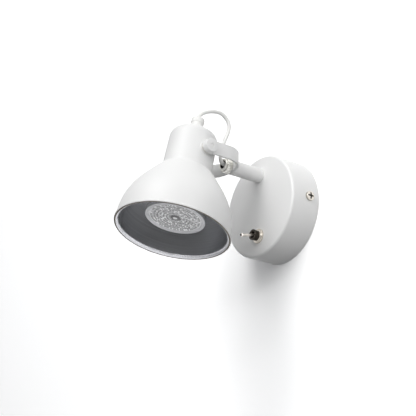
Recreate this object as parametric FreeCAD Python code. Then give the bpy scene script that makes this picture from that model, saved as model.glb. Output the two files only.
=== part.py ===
"""Pivoting spotlight wall light: round wall rose, straight arm, yoke and bell-shaped spot head.

Millimetres. The origin is the centre of the rose's back on the wall, +Z is up and the light
reaches out along -Y. The yoke turns about the arm (Y), the head tilts in the yoke (X) and the
switch lever rocks about X.
"""
import FreeCAD
import Part
import math
import os

V = FreeCAD.Vector

# ---- fits ----
RUNNING_FIT = 0.06          # radial play of a pin or shaft that turns
FACE_GAP = 0.3              # between faces of pieces that turn past each other
SLIP_FIT = 0.15             # radial play of a screw or nipple in its hole

# ---- wall rose ----
ROSE_RADIUS = 45.2
ROSE_DEPTH = 28.6
ROSE_WALL = 1.4
ROSE_EDGE = 2.2             # fillet round the front edge
SIDE_SCREW_Y = 10.6         # from the wall
SIDE_SCREW_RADIUS = 2.0
SIDE_HEAD_RADIUS = 4.1
SIDE_HEAD_HEIGHT = 2.5
SIDE_SCREW_REACH = 6.0      # how far the shank goes in from the rose's inner wall

# ---- wall bracket ----
BRACKET_THICK = 2.0
BRACKET_HEIGHT = 24.0
BRACKET_TAB_DEPTH = 15.0
BRACKET_PLAY = 0.25         # tab corner to the rose's inner wall
SLOT_PITCH = 56.0           # between the two fixing slots
SLOT_WIDTH = 4.6
SLOT_LENGTH = 12.0
CABLE_HOLE_RADIUS = 4.8
CABLE_HOLE_DROP = 6.0       # hole below the rose's middle

# ---- arm and its hollow nipple ----
ARM_HEIGHT = 28.2
ARM_RADIUS = 6.5
ARM_LENGTH = 29.8
NIPPLE_RADIUS = 5.0
NIPPLE_BORE = 4.0
NIPPLE_MOUTH = 2.0          # how far it stands out of the front ring nut
NIPPLE_TAIL = 9.0           # how far it reaches into the rose
REAR_NUT_RADIUS = 8.0
REAR_NUT_THICK = 3.0
REAR_WASHER_RADIUS = 8.5
REAR_WASHER_THICK = 1.0
ARM_WASHER_RADIUS = 6.5
ARM_WASHER_THICK = 1.0
WEB_WASHER_RADIUS = 6.6
WEB_WASHER_THICK = 0.8
RING_NUT_RADIUS = 6.3
RING_NUT_THICK = 2.6
RING_NUT_FLUTES = 16
FLUTE_RADIUS = 0.5
BUSH_LENGTH = 6.0
BUSH_WALL = 0.5
BUSH_FLANGE = 0.8

# ---- yoke ----
PIVOT_REACH = 99.9          # pivot axis from the wall
YOKE_WIDTH = 12.0
YOKE_THICK = 2.0
YOKE_HALF_SPAN = 23.3       # inner face of a leg from the middle
YOKE_BEND = 21.0            # outer radius of the two bends into the web
PIVOT_SCREW_RADIUS = 2.5
PIVOT_HEAD_RADIUS = 5.9
PIVOT_HEAD_HEIGHT = 3.5
PIVOT_HEAD_EDGE = 1.1
PIVOT_NUT_RADIUS = 4.6      # across corners
PIVOT_NUT_THICK = 2.7
PIVOT_SCREW_END = 0.6       # shank past the nut
CROSS_SPAN = 5.6
CROSS_DEPTH = 1.3
CROSS_SHARE = 0.23          # width of a bar of the cross over its span

# ---- head ----
HEAD_TILT = 12.4            # beam from straight down, outward, degrees
HEAD_OFFSET = 2.25          # pivot behind the head's own axis
HEAD_RISE = 0.5             # pivot above the head's reference height
HEAD_RADIUS = 20.5
HEAD_TOP = 21.2
HEAD_TOP_EDGE = 8.0
SHADE_WALL = 1.2
NECK_DROP = 15.8
NECK_RADIUS = 20.7
BELL_MID_DROP = 25.2
BELL_MID_RADIUS = 29.0
BELL_JOIN_DROP = 35.4
BELL_JOIN_RADIUS = 36.4
BELL_LOW_DROP = 54.0
BELL_LOW_RADIUS = 45.5
RIM_DROP = 73.8
RIM_RADIUS = 47.7
LIP_OUT = 1.0
LIP_HEIGHT = 2.2
BOSS_RADIUS = 6.3
BOSS_FACE = 20.9            # outer face of a pivot boss from the middle
BOSS_DEPTH = 2.6
SPACER_RADIUS = 5.0

# ---- cord gland ----
GLAND_RADIUS = 5.6
GLAND_HEIGHT = 9.5
GLAND_FOOT_RADIUS = 7.0
GLAND_FOOT = 2.0
GLAND_CAP_HEIGHT = 5.2
GLAND_CAP_EDGE = 1.6
GLAND_STEM_RADIUS = 3.4
GLAND_STEM = 6.0
GLAND_NUT_RADIUS = 5.2
GLAND_NUT_THICK = 2.4

# ---- lampholder and lamp ----
HOLDER_RADIUS = 13.2
HOLDER_HEIGHT = 15.0
STRAP_THICK = 1.2
STRAP_WIDTH = 10.0
HOLDER_SCREW_RADIUS = 1.5
HOLDER_SCREW_HEAD = 2.7
HOLDER_SCREW_HEIGHT = 1.8
HOLDER_SCREW_LENGTH = 7.0
LAMP_FACE_DROP = 61.8
LAMP_RADIUS = 25.0
LAMP_LENGTH = 54.0
LAMP_BASE_RADIUS = 13.5
LAMP_BASE_HEIGHT = 9.0
LAMP_WAIST_RADIUS = 16.5
LAMP_RING_WIDTH = 3.2
LAMP_RING_HEIGHT = 3.4
LAMP_FINS = 18
FIN_DEPTH = 1.1
FIN_WIDTH = 1.6
PIN_PITCH = 10.0
PIN_RADIUS = 1.5
PIN_HEAD_RADIUS = 2.5
PIN_LENGTH = 6.5
PIN_HEAD_HEIGHT = 2.6
PIN_PLAY = 0.4              # pin head in its slot
LENS_RINGS = 4
LENS_RIDGE = 0.7
LENS_SET_BACK = 0.9
LENS_EYE_RADIUS = 4.4
LENS_EYE_HEIGHT = 1.4

# ---- toggle switch ----
SWITCH_HEIGHT = -27.3
SWITCH_THREAD_RADIUS = 3.9
SWITCH_MOUTH = 3.0
SWITCH_COLLAR = 1.2         # plain bore beyond the lever's ball, front and back
SWITCH_TAG = (0.8, 4.0, 3.0)      # a terminal tag's size
SWITCH_TAG_PITCH = 10.0
SWITCH_NUT_RADIUS = 4.7
SWITCH_NUT_LENGTH = 5.4
BASE_NUT_RADIUS = 6.3
BASE_NUT_THICK = 1.8
BACK_NUT_RADIUS = 6.4
BACK_NUT_THICK = 2.0
SWITCH_BODY = (14.0, 9.0, 20.0)   # across, deep, tall
LEVER_TILT = 11.0           # below square, degrees
LEVER_RADIUS = 1.2
LEVER_TIP_RADIUS = 1.5
LEVER_LENGTH = 12.8         # out of the nut's mouth
LEVER_BALL_RADIUS = 1.95
LEVER_BALL_DEPTH = 3.6      # ball's middle behind the mouth

# ---- terminal block ----
BLOCK_SIZE = (26.0, 13.0, 11.0)   # along X, out from the wall, tall
BLOCK_BOTTOM = 1.5
BLOCK_SLOT = (1.4, 2.5)     # the cuts between the ways: width, depth
TERMINAL_PITCH = 8.0
TERMINAL_SHARE = 0.35       # wire holes' depth in the block over its depth
TERMINAL_FUNNEL = 2.6
TERMINAL_SCREW_HEIGHT = 2.6
TERMINAL_SLOT = (0.8, 0.9)  # the screws' driver slots: width, depth
EARTH_HEAD_RADIUS = 3.6
EARTH_HEAD_HEIGHT = 2.2
EARTH_X = 20.0
EARTH_Z = -7.5

# ---- cord ----
CORD_RADIUS = 1.7
CORD_RISE = 3.9             # straight run out of the gland
CORD_END = 4.3              # how far inside the nipple's bush the free cord meets the inner one
CORD_GRIP = 3.0             # how far the inner cord goes into the terminal block


# ---- worked out ----
WEB_FACE_Y = -(ROSE_DEPTH + ARM_LENGTH + ARM_WASHER_THICK + FACE_GAP)      # wall side of the web
WEB_INNER_Y = WEB_FACE_Y - YOKE_THICK
RING_NUT_Y = WEB_INNER_Y - FACE_GAP - WEB_WASHER_THICK
MOUTH_Y = RING_NUT_Y - RING_NUT_THICK - NIPPLE_MOUTH
TAIL_Y = -(ROSE_DEPTH - ROSE_WALL - NIPPLE_TAIL)                          # nipple's end in the rose
PIVOT = V(0, -PIVOT_REACH, ARM_HEIGHT)
EAR_OUTER = YOKE_HALF_SPAN + YOKE_THICK
LAMP_TOP = -LAMP_FACE_DROP + LAMP_LENGTH


def rod(radius, start, direction, length):
    """A round bar from a point along a direction."""
    return Part.makeCylinder(radius, length, start, direction)


def out_rod(radius, y, length, x=0.0, z=0.0):
    """A round bar that starts at y and runs out from the wall, along -Y."""
    return rod(radius, V(x, y, z), V(0, -1, 0), length)


def out_tube(radius, bore, y, length, x=0.0, z=0.0):
    """A round tube that starts at y and runs out from the wall."""
    return out_rod(radius, y, length, x, z).cut(out_rod(bore, y, length, x, z))


def prism(corner_radius, sides, start, direction, length, turn=0.0):
    """A regular prism, its size across corners, from a point along a direction."""
    points = []
    for i in range(sides + 1):
        angle = 2 * math.pi * i / sides + turn
        points.append(V(corner_radius * math.cos(angle), corner_radius * math.sin(angle), 0))
    solid = Part.Face(Part.makePolygon(points)).extrude(V(0, 0, length))
    solid.Placement = FreeCAD.Placement(start, FreeCAD.Rotation(V(0, 0, 1), direction))
    return solid


def turned(points):
    """A solid turned about Z from corners given as (radius, height)."""
    wire = Part.makePolygon([V(r, 0, z) for r, z in points + points[:1]])
    return Part.Face(wire).revolve(V(0, 0, 0), V(0, 0, 1), 360)


def arc(a, b, c):
    """An arc edge through three (radius, height) points."""
    return Part.Arc(V(a[0], 0, a[1]), V(b[0], 0, b[1]), V(c[0], 0, c[1])).toShape()


def line(a, b):
    """A straight edge between two (radius, height) points."""
    return Part.LineSegment(V(a[0], 0, a[1]), V(b[0], 0, b[1])).toShape()


def joined(shapes):
    """Solids that touch or overlap, made one."""
    solid = shapes[0]
    for shape in shapes[1:]:
        solid = solid.fuse(shape)
    return solid.removeSplitter()


def cross_recess(centre, direction, depth, span):
    """The cutter of a cross recess that goes in from a head's face against its direction."""
    width = CROSS_SHARE * span
    bar = Part.makeBox(span, width, depth + 1, V(-span / 2, -width / 2, -depth))
    other = Part.makeBox(width, span, depth + 1, V(-width / 2, -span / 2, -depth))
    cutter = bar.fuse(other)
    cutter.Placement = FreeCAD.Placement(centre, FreeCAD.Rotation(V(0, 0, 1), direction))
    return cutter


def pan_screw(seat, direction, shank, shank_length, head, head_height, edge):
    """A pan-head screw: its head stands on the seat and its shank goes in against direction."""
    body = rod(head, V(0, 0, 0), V(0, 0, 1), head_height)
    rim = [e for e in body.Edges if abs(e.BoundBox.ZMin - head_height) < 1e-6 and len(e.Vertexes) == 1]
    body = body.makeFillet(min(edge, 0.7 * head_height), rim[:1])
    body = body.fuse(rod(shank, V(0, 0, -shank_length), V(0, 0, 1), shank_length))
    span = min(CROSS_SPAN, 1.3 * head)
    depth = min(CROSS_DEPTH, 0.5 * head_height)
    body = body.cut(cross_recess(V(0, 0, head_height), V(0, 0, 1), depth, span))
    body.Placement = FreeCAD.Placement(seat, FreeCAD.Rotation(V(0, 0, 1), direction))
    return body


# ---- wall rose ----

def rose_cover():
    """The deep round cover: a cup open at the wall, drilled for arm, switch and side screws."""
    cup = out_rod(ROSE_RADIUS, 0, ROSE_DEPTH)
    front = [e for e in cup.Edges if abs(e.BoundBox.YMin + ROSE_DEPTH) < 1e-6 and len(e.Vertexes) == 1]
    cup = cup.makeFillet(min(ROSE_EDGE, 0.4 * ROSE_DEPTH), front[:1])
    inside = out_rod(ROSE_RADIUS - ROSE_WALL, 0, ROSE_DEPTH - ROSE_WALL)
    cup = cup.cut(inside)
    cup = cup.cut(out_rod(NIPPLE_RADIUS + SLIP_FIT, 0, ROSE_DEPTH + 1, 0, ARM_HEIGHT))
    cup = cup.cut(out_rod(SWITCH_THREAD_RADIUS + SLIP_FIT, 0, ROSE_DEPTH + 1, 0, SWITCH_HEIGHT))
    hole = SIDE_SCREW_RADIUS + SLIP_FIT
    return cup.cut(rod(hole, V(-ROSE_RADIUS - 1, -SIDE_SCREW_Y, 0), V(1, 0, 0), 2 * ROSE_RADIUS + 2))


def tab_face():
    """Distance from the middle to the outer face of a bracket tab."""
    inside = ROSE_RADIUS - ROSE_WALL - BRACKET_PLAY
    return math.sqrt(inside ** 2 - (BRACKET_HEIGHT / 4) ** 2)


def wall_bracket():
    """The strap behind the rose: two fixing slots, a cable hole and bent-up tabs at its ends."""
    reach = tab_face()
    half = BRACKET_HEIGHT / 2
    strap = Part.makeBox(2 * reach, BRACKET_THICK, BRACKET_HEIGHT, V(-reach, -BRACKET_THICK, -half))
    for side in (-1, 1):
        x = -reach if side < 0 else reach - BRACKET_THICK
        tab = Part.makeBox(BRACKET_THICK, BRACKET_TAB_DEPTH, half, V(x, -BRACKET_TAB_DEPTH, -half / 2))
        strap = strap.fuse(tab)
    inside = out_rod(ROSE_RADIUS - ROSE_WALL - BRACKET_PLAY, 0, BRACKET_TAB_DEPTH)
    strap = strap.common(inside)
    for side in (-1, 1):
        middle = side * SLOT_PITCH / 2
        straight = (SLOT_LENGTH - SLOT_WIDTH) / 2
        slot = Part.makeBox(2 * straight, BRACKET_THICK + 2, SLOT_WIDTH,
                            V(middle - straight, -BRACKET_THICK - 1, -SLOT_WIDTH / 2))
        for end in (-1, 1):
            slot = slot.fuse(out_rod(SLOT_WIDTH / 2, 1, BRACKET_THICK + 2, middle + end * straight, 0))
        strap = strap.cut(slot)
    strap = strap.cut(out_rod(CABLE_HOLE_RADIUS, 1, BRACKET_THICK + 2, 0, -CABLE_HOLE_DROP))
    strap = strap.cut(out_rod(SIDE_SCREW_RADIUS, 1, BRACKET_THICK + 2, EARTH_X, EARTH_Z))
    hole = rod(SIDE_SCREW_RADIUS, V(-reach - 1, -SIDE_SCREW_Y, 0), V(1, 0, 0), 2 * reach + 2)
    return strap.cut(hole).removeSplitter()


def side_screws():
    """The two pan-head screws that hold the rose to the bracket's tabs."""
    screws = []
    for side in (-1, 1):
        seat = V(side * ROSE_RADIUS, -SIDE_SCREW_Y, 0)
        length = ROSE_WALL + SIDE_SCREW_REACH
        screws.append(pan_screw(seat, V(side, 0, 0), SIDE_SCREW_RADIUS, length,
                                SIDE_HEAD_RADIUS, SIDE_HEAD_HEIGHT, 1.2))
    return Part.makeCompound(screws)


def earth_screw():
    """The earth terminal's screw in the bracket."""
    return pan_screw(V(EARTH_X, -BRACKET_THICK, EARTH_Z), V(0, -1, 0), SIDE_SCREW_RADIUS, BRACKET_THICK,
                     EARTH_HEAD_RADIUS, EARTH_HEAD_HEIGHT, 0.8)


# ---- terminal block ----

def wire_hole_y():
    """How far out the terminal block's wire holes lie."""
    return -BRACKET_THICK - TERMINAL_SHARE * BLOCK_SIZE[1]


def terminal_block():
    """A three-way block on the bracket, with a screw funnel and a wire hole for each way."""
    wide, deep, tall = BLOCK_SIZE
    block = Part.makeBox(wide, deep, tall, V(-wide / 2, -BRACKET_THICK - deep, BLOCK_BOTTOM))
    middle = BLOCK_BOTTOM + tall / 2
    for way in (-1, 0, 1):
        x = way * TERMINAL_PITCH
        start = V(x, wire_hole_y(), BLOCK_BOTTOM - 1)
        block = block.cut(out_rod(TERMINAL_FUNNEL, -BRACKET_THICK - deep / 2, deep, x, middle))
        block = block.cut(rod(CORD_RADIUS, start, V(0, 0, 1), tall + 2))
    width, depth = BLOCK_SLOT
    for gap in (-0.5, 0.5):
        corner = V(gap * TERMINAL_PITCH - width / 2, -BRACKET_THICK - deep, BLOCK_BOTTOM)
        block = block.cut(Part.makeBox(width, depth, tall, corner))
    return block


def terminal_screws():
    """The block's three clamp screws, sunk in their funnels."""
    start = -BRACKET_THICK - BLOCK_SIZE[1] / 2
    middle = BLOCK_BOTTOM + BLOCK_SIZE[2] / 2
    radius = TERMINAL_FUNNEL - SLIP_FIT
    width, depth = TERMINAL_SLOT
    screws = []
    for way in (-1, 0, 1):
        x = way * TERMINAL_PITCH
        head = out_rod(radius, start, TERMINAL_SCREW_HEIGHT, x, middle)
        corner = V(x - radius - 1, start - TERMINAL_SCREW_HEIGHT, middle - width / 2)
        screws.append(head.cut(Part.makeBox(2 * radius + 2, depth, width, corner)))
    return Part.makeCompound(screws)


# ---- arm ----

def arm_tube():
    """The straight arm between the rose's front and the yoke."""
    return out_tube(ARM_RADIUS, NIPPLE_RADIUS + SLIP_FIT, -ROSE_DEPTH, ARM_LENGTH, 0, ARM_HEIGHT)


def nipple():
    """The hollow threaded nipple that runs through rose, arm and yoke and carries the cord."""
    return out_tube(NIPPLE_RADIUS, NIPPLE_BORE, TAIL_Y, TAIL_Y - MOUTH_Y, 0, ARM_HEIGHT)


def rear_washer():
    """The washer between the rose's inside and the nipple's nut."""
    return out_tube(REAR_WASHER_RADIUS, NIPPLE_RADIUS + SLIP_FIT,
                    -(ROSE_DEPTH - ROSE_WALL - REAR_WASHER_THICK), REAR_WASHER_THICK, 0, ARM_HEIGHT)


def rear_nut():
    """The hexagon nut that draws arm and nipple tight on the rose."""
    start = -(ROSE_DEPTH - ROSE_WALL - REAR_WASHER_THICK - REAR_NUT_THICK)
    nut = prism(REAR_NUT_RADIUS, 6, V(0, start, ARM_HEIGHT), V(0, -1, 0), REAR_NUT_THICK)
    return nut.cut(out_rod(NIPPLE_RADIUS, start + 1, REAR_NUT_THICK + 2, 0, ARM_HEIGHT))


def arm_washer():
    """The friction washer between the arm's end and the yoke."""
    return out_tube(ARM_WASHER_RADIUS, NIPPLE_RADIUS + SLIP_FIT, -(ROSE_DEPTH + ARM_LENGTH),
                    ARM_WASHER_THICK, 0, ARM_HEIGHT)


def web_washer():
    """The washer on the room side of the yoke's web."""
    return out_tube(WEB_WASHER_RADIUS, NIPPLE_RADIUS + SLIP_FIT, RING_NUT_Y + WEB_WASHER_THICK,
                    WEB_WASHER_THICK, 0, ARM_HEIGHT)


def ring_nut():
    """The fluted ring nut that closes the swivel."""
    nut = out_rod(RING_NUT_RADIUS, RING_NUT_Y, RING_NUT_THICK, 0, ARM_HEIGHT)
    rim = [e for e in nut.Edges if abs(e.BoundBox.YMin - RING_NUT_Y + RING_NUT_THICK) < 1e-6]
    nut = nut.makeFillet(0.4, [e for e in rim if len(e.Vertexes) == 1][:1])
    nut = nut.cut(out_rod(NIPPLE_RADIUS, RING_NUT_Y + 1, RING_NUT_THICK + 2, 0, ARM_HEIGHT))
    for i in range(RING_NUT_FLUTES):
        angle = 2 * math.pi * i / RING_NUT_FLUTES
        x = (RING_NUT_RADIUS + 0.1) * math.cos(angle)
        z = (RING_NUT_RADIUS + 0.1) * math.sin(angle)
        nut = nut.cut(out_rod(FLUTE_RADIUS, RING_NUT_Y + 1, RING_NUT_THICK + 2, x, ARM_HEIGHT + z))
    return nut


def nipple_bush():
    """The insulating bush in the nipple's mouth, flanged over its end."""
    sleeve = out_tube(NIPPLE_BORE, NIPPLE_BORE - BUSH_WALL, MOUTH_Y + BUSH_LENGTH, BUSH_LENGTH, 0, ARM_HEIGHT)
    flange = out_tube(NIPPLE_RADIUS + 0.2, NIPPLE_BORE - BUSH_WALL, MOUTH_Y, BUSH_FLANGE, 0, ARM_HEIGHT)
    return joined([sleeve, flange])


# ---- toggle switch ----

def switch_nut_end():
    """Y of the switch nut's mouth."""
    return -ROSE_DEPTH - BASE_NUT_THICK - SWITCH_NUT_LENGTH


def lever_pivot():
    """The middle of the lever's ball."""
    return V(0, switch_nut_end() + LEVER_BALL_DEPTH, SWITCH_HEIGHT)


def switch_bushing():
    """The switch's threaded bushing: a blind tube whose mouth flares for the lever's throw."""
    start = -(ROSE_DEPTH - ROSE_WALL - BACK_NUT_THICK)
    length = start - switch_nut_end()
    tube = out_rod(SWITCH_THREAD_RADIUS, start, length, 0, SWITCH_HEIGHT)
    depth = LEVER_BALL_DEPTH + LEVER_BALL_RADIUS + SWITCH_COLLAR
    bore = LEVER_BALL_RADIUS + RUNNING_FIT
    tube = tube.cut(out_rod(bore, switch_nut_end() + depth, depth + 1, 0, SWITCH_HEIGHT))
    flare_depth = LEVER_BALL_DEPTH - SWITCH_COLLAR
    flare = Part.makeCone(bore, SWITCH_MOUTH, flare_depth,
                          V(0, switch_nut_end() + flare_depth, SWITCH_HEIGHT), V(0, -1, 0))
    return tube.cut(flare)


def switch_base_nut():
    """The flat ring nut against the rose."""
    nut = out_tube(BASE_NUT_RADIUS, SWITCH_THREAD_RADIUS, -ROSE_DEPTH, BASE_NUT_THICK, 0, SWITCH_HEIGHT)
    edge = [e for e in nut.Edges if abs(e.BoundBox.YMax + ROSE_DEPTH + BASE_NUT_THICK) < 1e-6
            and len(e.Vertexes) == 1 and e.Curve.Radius > SWITCH_THREAD_RADIUS + 0.1]
    return nut.makeFillet(min(0.6, 0.4 * BASE_NUT_THICK), edge)


def switch_dress_nut():
    """The tall polished nut round the bushing, its front edge rounded."""
    start = -ROSE_DEPTH - BASE_NUT_THICK
    nut = out_tube(SWITCH_NUT_RADIUS, SWITCH_THREAD_RADIUS, start, SWITCH_NUT_LENGTH, 0, SWITCH_HEIGHT)
    edge = [e for e in nut.Edges if abs(e.BoundBox.YMax - switch_nut_end()) < 1e-6
            and len(e.Vertexes) == 1 and e.Curve.Radius > SWITCH_THREAD_RADIUS + 0.1]
    return nut.makeFillet(0.7, edge)


def switch_back_nut():
    """The hexagon nut inside the rose."""
    start = -(ROSE_DEPTH - ROSE_WALL - BACK_NUT_THICK)
    nut = prism(BACK_NUT_RADIUS, 6, V(0, start, SWITCH_HEIGHT), V(0, -1, 0), BACK_NUT_THICK)
    return nut.cut(out_rod(SWITCH_THREAD_RADIUS, start + 1, BACK_NUT_THICK + 2, 0, SWITCH_HEIGHT))


def switch_body():
    """The switch's closed case behind its bushing, with two terminal tags."""
    wide, deep, tall = SWITCH_BODY
    front = -(ROSE_DEPTH - ROSE_WALL - BACK_NUT_THICK)
    case = Part.makeBox(wide, deep, tall, V(-wide / 2, front, SWITCH_HEIGHT - tall / 2))
    case = case.makeFillet(1.0, [e for e in case.Edges if abs(e.tangentAt(e.FirstParameter).y) > 0.9])
    thick, length, width = SWITCH_TAG
    for side in (-1, 1):
        low = SWITCH_HEIGHT + side * SWITCH_TAG_PITCH / 2 - width / 2
        case = case.fuse(Part.makeBox(thick, length, width, V(-thick / 2, front + deep, low)))
    return case.removeSplitter()


def switch_lever():
    """The toggle lever: ball, slim stem and a rounded bat tip, at its lower throw."""
    reach = LEVER_BALL_DEPTH + LEVER_LENGTH
    ball = Part.makeSphere(LEVER_BALL_RADIUS)
    bat = Part.makeCone(LEVER_RADIUS, LEVER_TIP_RADIUS, reach - LEVER_TIP_RADIUS, V(0, 0, 0), V(0, -1, 0))
    tip = Part.makeSphere(LEVER_TIP_RADIUS, V(0, -(reach - LEVER_TIP_RADIUS), 0))
    lever = joined([ball, bat, tip])
    down = FreeCAD.Rotation(V(1, 0, 0), LEVER_TILT)
    lever.Placement = FreeCAD.Placement(lever_pivot(), down)
    return lever


# ---- yoke ----

def yoke_strip(offset, half_width):
    """The plan of the yoke out to one face of its strip, as a closed block of that outline."""
    half = YOKE_HALF_SPAN + offset
    web = WEB_INNER_Y + offset
    bend = YOKE_BEND - YOKE_THICK + offset
    end = -PIVOT_REACH - YOKE_WIDTH
    cut = bend * (1 - math.sqrt(0.5))
    edges = [
        Part.LineSegment(V(half, end, 0), V(half, web - bend, 0)).toShape(),
        Part.Arc(V(half, web - bend, 0), V(half - cut, web - cut, 0), V(half - bend, web, 0)).toShape(),
        Part.LineSegment(V(half - bend, web, 0), V(bend - half, web, 0)).toShape(),
        Part.Arc(V(bend - half, web, 0), V(cut - half, web - cut, 0), V(-half, web - bend, 0)).toShape(),
        Part.LineSegment(V(-half, web - bend, 0), V(-half, end, 0)).toShape(),
        Part.LineSegment(V(-half, end, 0), V(half, end, 0)).toShape(),
    ]
    block = Part.Face(Part.Wire(edges)).extrude(V(0, 0, 2 * half_width))
    block.translate(V(0, 0, ARM_HEIGHT - half_width))
    return block


def yoke_bracket():
    """The strip bent to a U, its two ears rounded about the pivot, drilled for pivot and nipple."""
    half_width = YOKE_WIDTH / 2
    strip = yoke_strip(YOKE_THICK, half_width).cut(yoke_strip(0, half_width + 1))
    reach = EAR_OUTER + 1
    side = V(-reach, 0, 0)
    ear = rod(half_width, PIVOT + side, V(1, 0, 0), 2 * reach)
    legs = Part.makeBox(2 * reach, PIVOT_REACH, YOKE_WIDTH, V(-reach, -PIVOT_REACH, ARM_HEIGHT - half_width))
    strip = strip.common(ear.fuse(legs))
    strip = strip.cut(rod(PIVOT_SCREW_RADIUS, PIVOT + side, V(1, 0, 0), 2 * reach))
    strip = strip.cut(out_rod(NIPPLE_RADIUS + RUNNING_FIT, WEB_FACE_Y + 1, YOKE_THICK + 2, 0, ARM_HEIGHT))
    return strip.removeSplitter()


def pivot_screws():
    """The two big pan-head screws through the ears that the head tilts on."""
    length = EAR_OUTER - nut_face() + PIVOT_NUT_THICK + PIVOT_SCREW_END
    screws = []
    for side in (-1, 1):
        seat = PIVOT + V(side * EAR_OUTER, 0, 0)
        screws.append(pan_screw(seat, V(side, 0, 0), PIVOT_SCREW_RADIUS, length,
                                PIVOT_HEAD_RADIUS, PIVOT_HEAD_HEIGHT, PIVOT_HEAD_EDGE))
    return Part.makeCompound(screws)


def nut_face():
    """Outer face of a pivot nut from the middle."""
    return BOSS_FACE - BOSS_DEPTH - FACE_GAP


def pivot_nuts():
    """The hexagon nuts on the pivot screws, inside the head."""
    nuts = []
    for side in (-1, 1):
        start = PIVOT + V(side * nut_face(), 0, 0)
        nut = prism(PIVOT_NUT_RADIUS, 6, start, V(-side, 0, 0), PIVOT_NUT_THICK)
        hole = rod(PIVOT_SCREW_RADIUS, start + V(side, 0, 0), V(-side, 0, 0), PIVOT_NUT_THICK + 2)
        nuts.append(nut.cut(hole))
    return Part.makeCompound(nuts)


# ---- head: made upright about its own axis, its pivot at (0, HEAD_OFFSET, HEAD_RISE) ----

def hung(shape):
    """A head piece, tilted and moved from upright to where it hangs in the yoke."""
    shape = shape.copy()
    shape.translate(V(0, -HEAD_OFFSET, -HEAD_RISE))
    shape.rotate(V(0, 0, 0), V(1, 0, 0), -HEAD_TILT)
    shape.translate(PIVOT)
    return shape


def shade_profile(inset):
    """The shade's outline from its top round to the rim, moved in by inset."""
    edge = HEAD_TOP_EDGE - inset
    top = HEAD_TOP - inset
    side = HEAD_RADIUS - inset
    low = HEAD_TOP - HEAD_TOP_EDGE
    corner = edge * math.sqrt(0.5)
    upper = bell_inset(0.0, inset)
    middle = bell_inset(0.25, inset)
    join = bell_inset(0.5, inset)
    lower = bell_inset(0.75, inset)
    rim = bell_inset(1.0, inset)
    return [
        line((0, top), (side - edge, top)),
        arc((side - edge, top), (side - edge + corner, low + corner), (side, low)),
        line((side, low), upper),
        arc(upper, middle, join),
        arc(join, lower, rim),
    ]


def bell_inset(share, inset):
    """A point of the bell's outline, moved square to the outline by inset."""
    nodes = [
        (NECK_RADIUS, -NECK_DROP),
        (BELL_MID_RADIUS, -BELL_MID_DROP),
        (BELL_JOIN_RADIUS, -BELL_JOIN_DROP),
        (BELL_LOW_RADIUS, -BELL_LOW_DROP),
        (RIM_RADIUS, -RIM_DROP),
    ]
    index = int(round(share * 4))
    r, z = nodes[index]
    if index == 0:
        return (r - inset, z - 0.35 * inset)
    if index == 4:
        return (r - inset, z)
    before = nodes[index - 1]
    after = nodes[index + 1]
    run = V(after[0] - before[0], after[1] - before[1], 0).normalize()
    return (r + run.y * inset, z - run.x * inset)


def rim_lip():
    """The half-round bead turned out round the rim."""
    bead = LIP_HEIGHT / 2
    inner = RIM_RADIUS - SHADE_WALL
    crown = RIM_RADIUS + LIP_OUT
    low = -RIM_DROP
    high = low + LIP_HEIGHT
    wire = Part.Wire([
        line((inner, low), (crown - bead, low)),
        arc((crown - bead, low), (crown, low + bead), (crown - bead, high)),
        line((crown - bead, high), (inner, high)),
        line((inner, high), (inner, low)),
    ])
    return Part.Face(wire).revolve(V(0, 0, 0), V(0, 0, 1), 360)


def shade():
    """The spun shade: round cap, short cylinder and bell with a turned-out lip, and two pivot bosses."""
    outer = shade_profile(0.0)
    inner = shade_profile(SHADE_WALL)
    rim_out = (RIM_RADIUS, -RIM_DROP)
    rim_in = (RIM_RADIUS - SHADE_WALL, -RIM_DROP)
    edges = outer + [line(rim_out, rim_in)] + inner + [line((0, HEAD_TOP - SHADE_WALL), (0, HEAD_TOP))]
    wire = Part.Wire(Part.__sortEdges__(edges))
    body = Part.Face(wire).revolve(V(0, 0, 0), V(0, 0, 1), 360)
    lip = rim_lip()
    pivot = V(0, HEAD_OFFSET, HEAD_RISE)
    bosses = []
    for side in (-1, 1):
        start = pivot + V(side * BOSS_FACE, 0, 0)
        bosses.append(rod(BOSS_RADIUS, start, V(-side, 0, 0), BOSS_DEPTH))
    body = joined([body, lip] + bosses)
    for side in (-1, 1):
        start = pivot + V(side * (BOSS_FACE + 1), 0, 0)
        body = body.cut(rod(PIVOT_SCREW_RADIUS + RUNNING_FIT, start, V(-side, 0, 0), BOSS_DEPTH + 2))
    body = body.cut(rod(GLAND_STEM_RADIUS, V(0, 0, HEAD_TOP - SHADE_WALL - 1), V(0, 0, 1), SHADE_WALL + 2))
    return hung(body)


def pivot_spacers():
    """The plain spacers between the shade's bosses and the yoke's ears."""
    thick = YOKE_HALF_SPAN - FACE_GAP - BOSS_FACE
    spacers = []
    for side in (-1, 1):
        start = V(side * BOSS_FACE, HEAD_OFFSET, HEAD_RISE)
        outer = rod(SPACER_RADIUS, start, V(side, 0, 0), thick)
        spacers.append(outer.cut(rod(PIVOT_SCREW_RADIUS + RUNNING_FIT, start, V(side, 0, 0), thick)))
    return hung(Part.makeCompound(spacers))


def gland_body():
    """The cord gland's foot and barrel, with the stem that passes through the shade's top."""
    profile = [
        (CORD_RADIUS, HEAD_TOP - GLAND_STEM),
        (GLAND_STEM_RADIUS, HEAD_TOP - GLAND_STEM),
        (GLAND_STEM_RADIUS, HEAD_TOP),
        (GLAND_FOOT_RADIUS, HEAD_TOP),
        (GLAND_FOOT_RADIUS, HEAD_TOP + GLAND_FOOT),
        (GLAND_RADIUS - 0.3, HEAD_TOP + GLAND_FOOT),
        (GLAND_RADIUS - 0.3, HEAD_TOP + GLAND_HEIGHT),
        (CORD_RADIUS, HEAD_TOP + GLAND_HEIGHT),
    ]
    return hung(turned(profile))


def gland_top():
    """Height of the gland cap's top."""
    return HEAD_TOP + GLAND_HEIGHT + GLAND_CAP_HEIGHT


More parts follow.
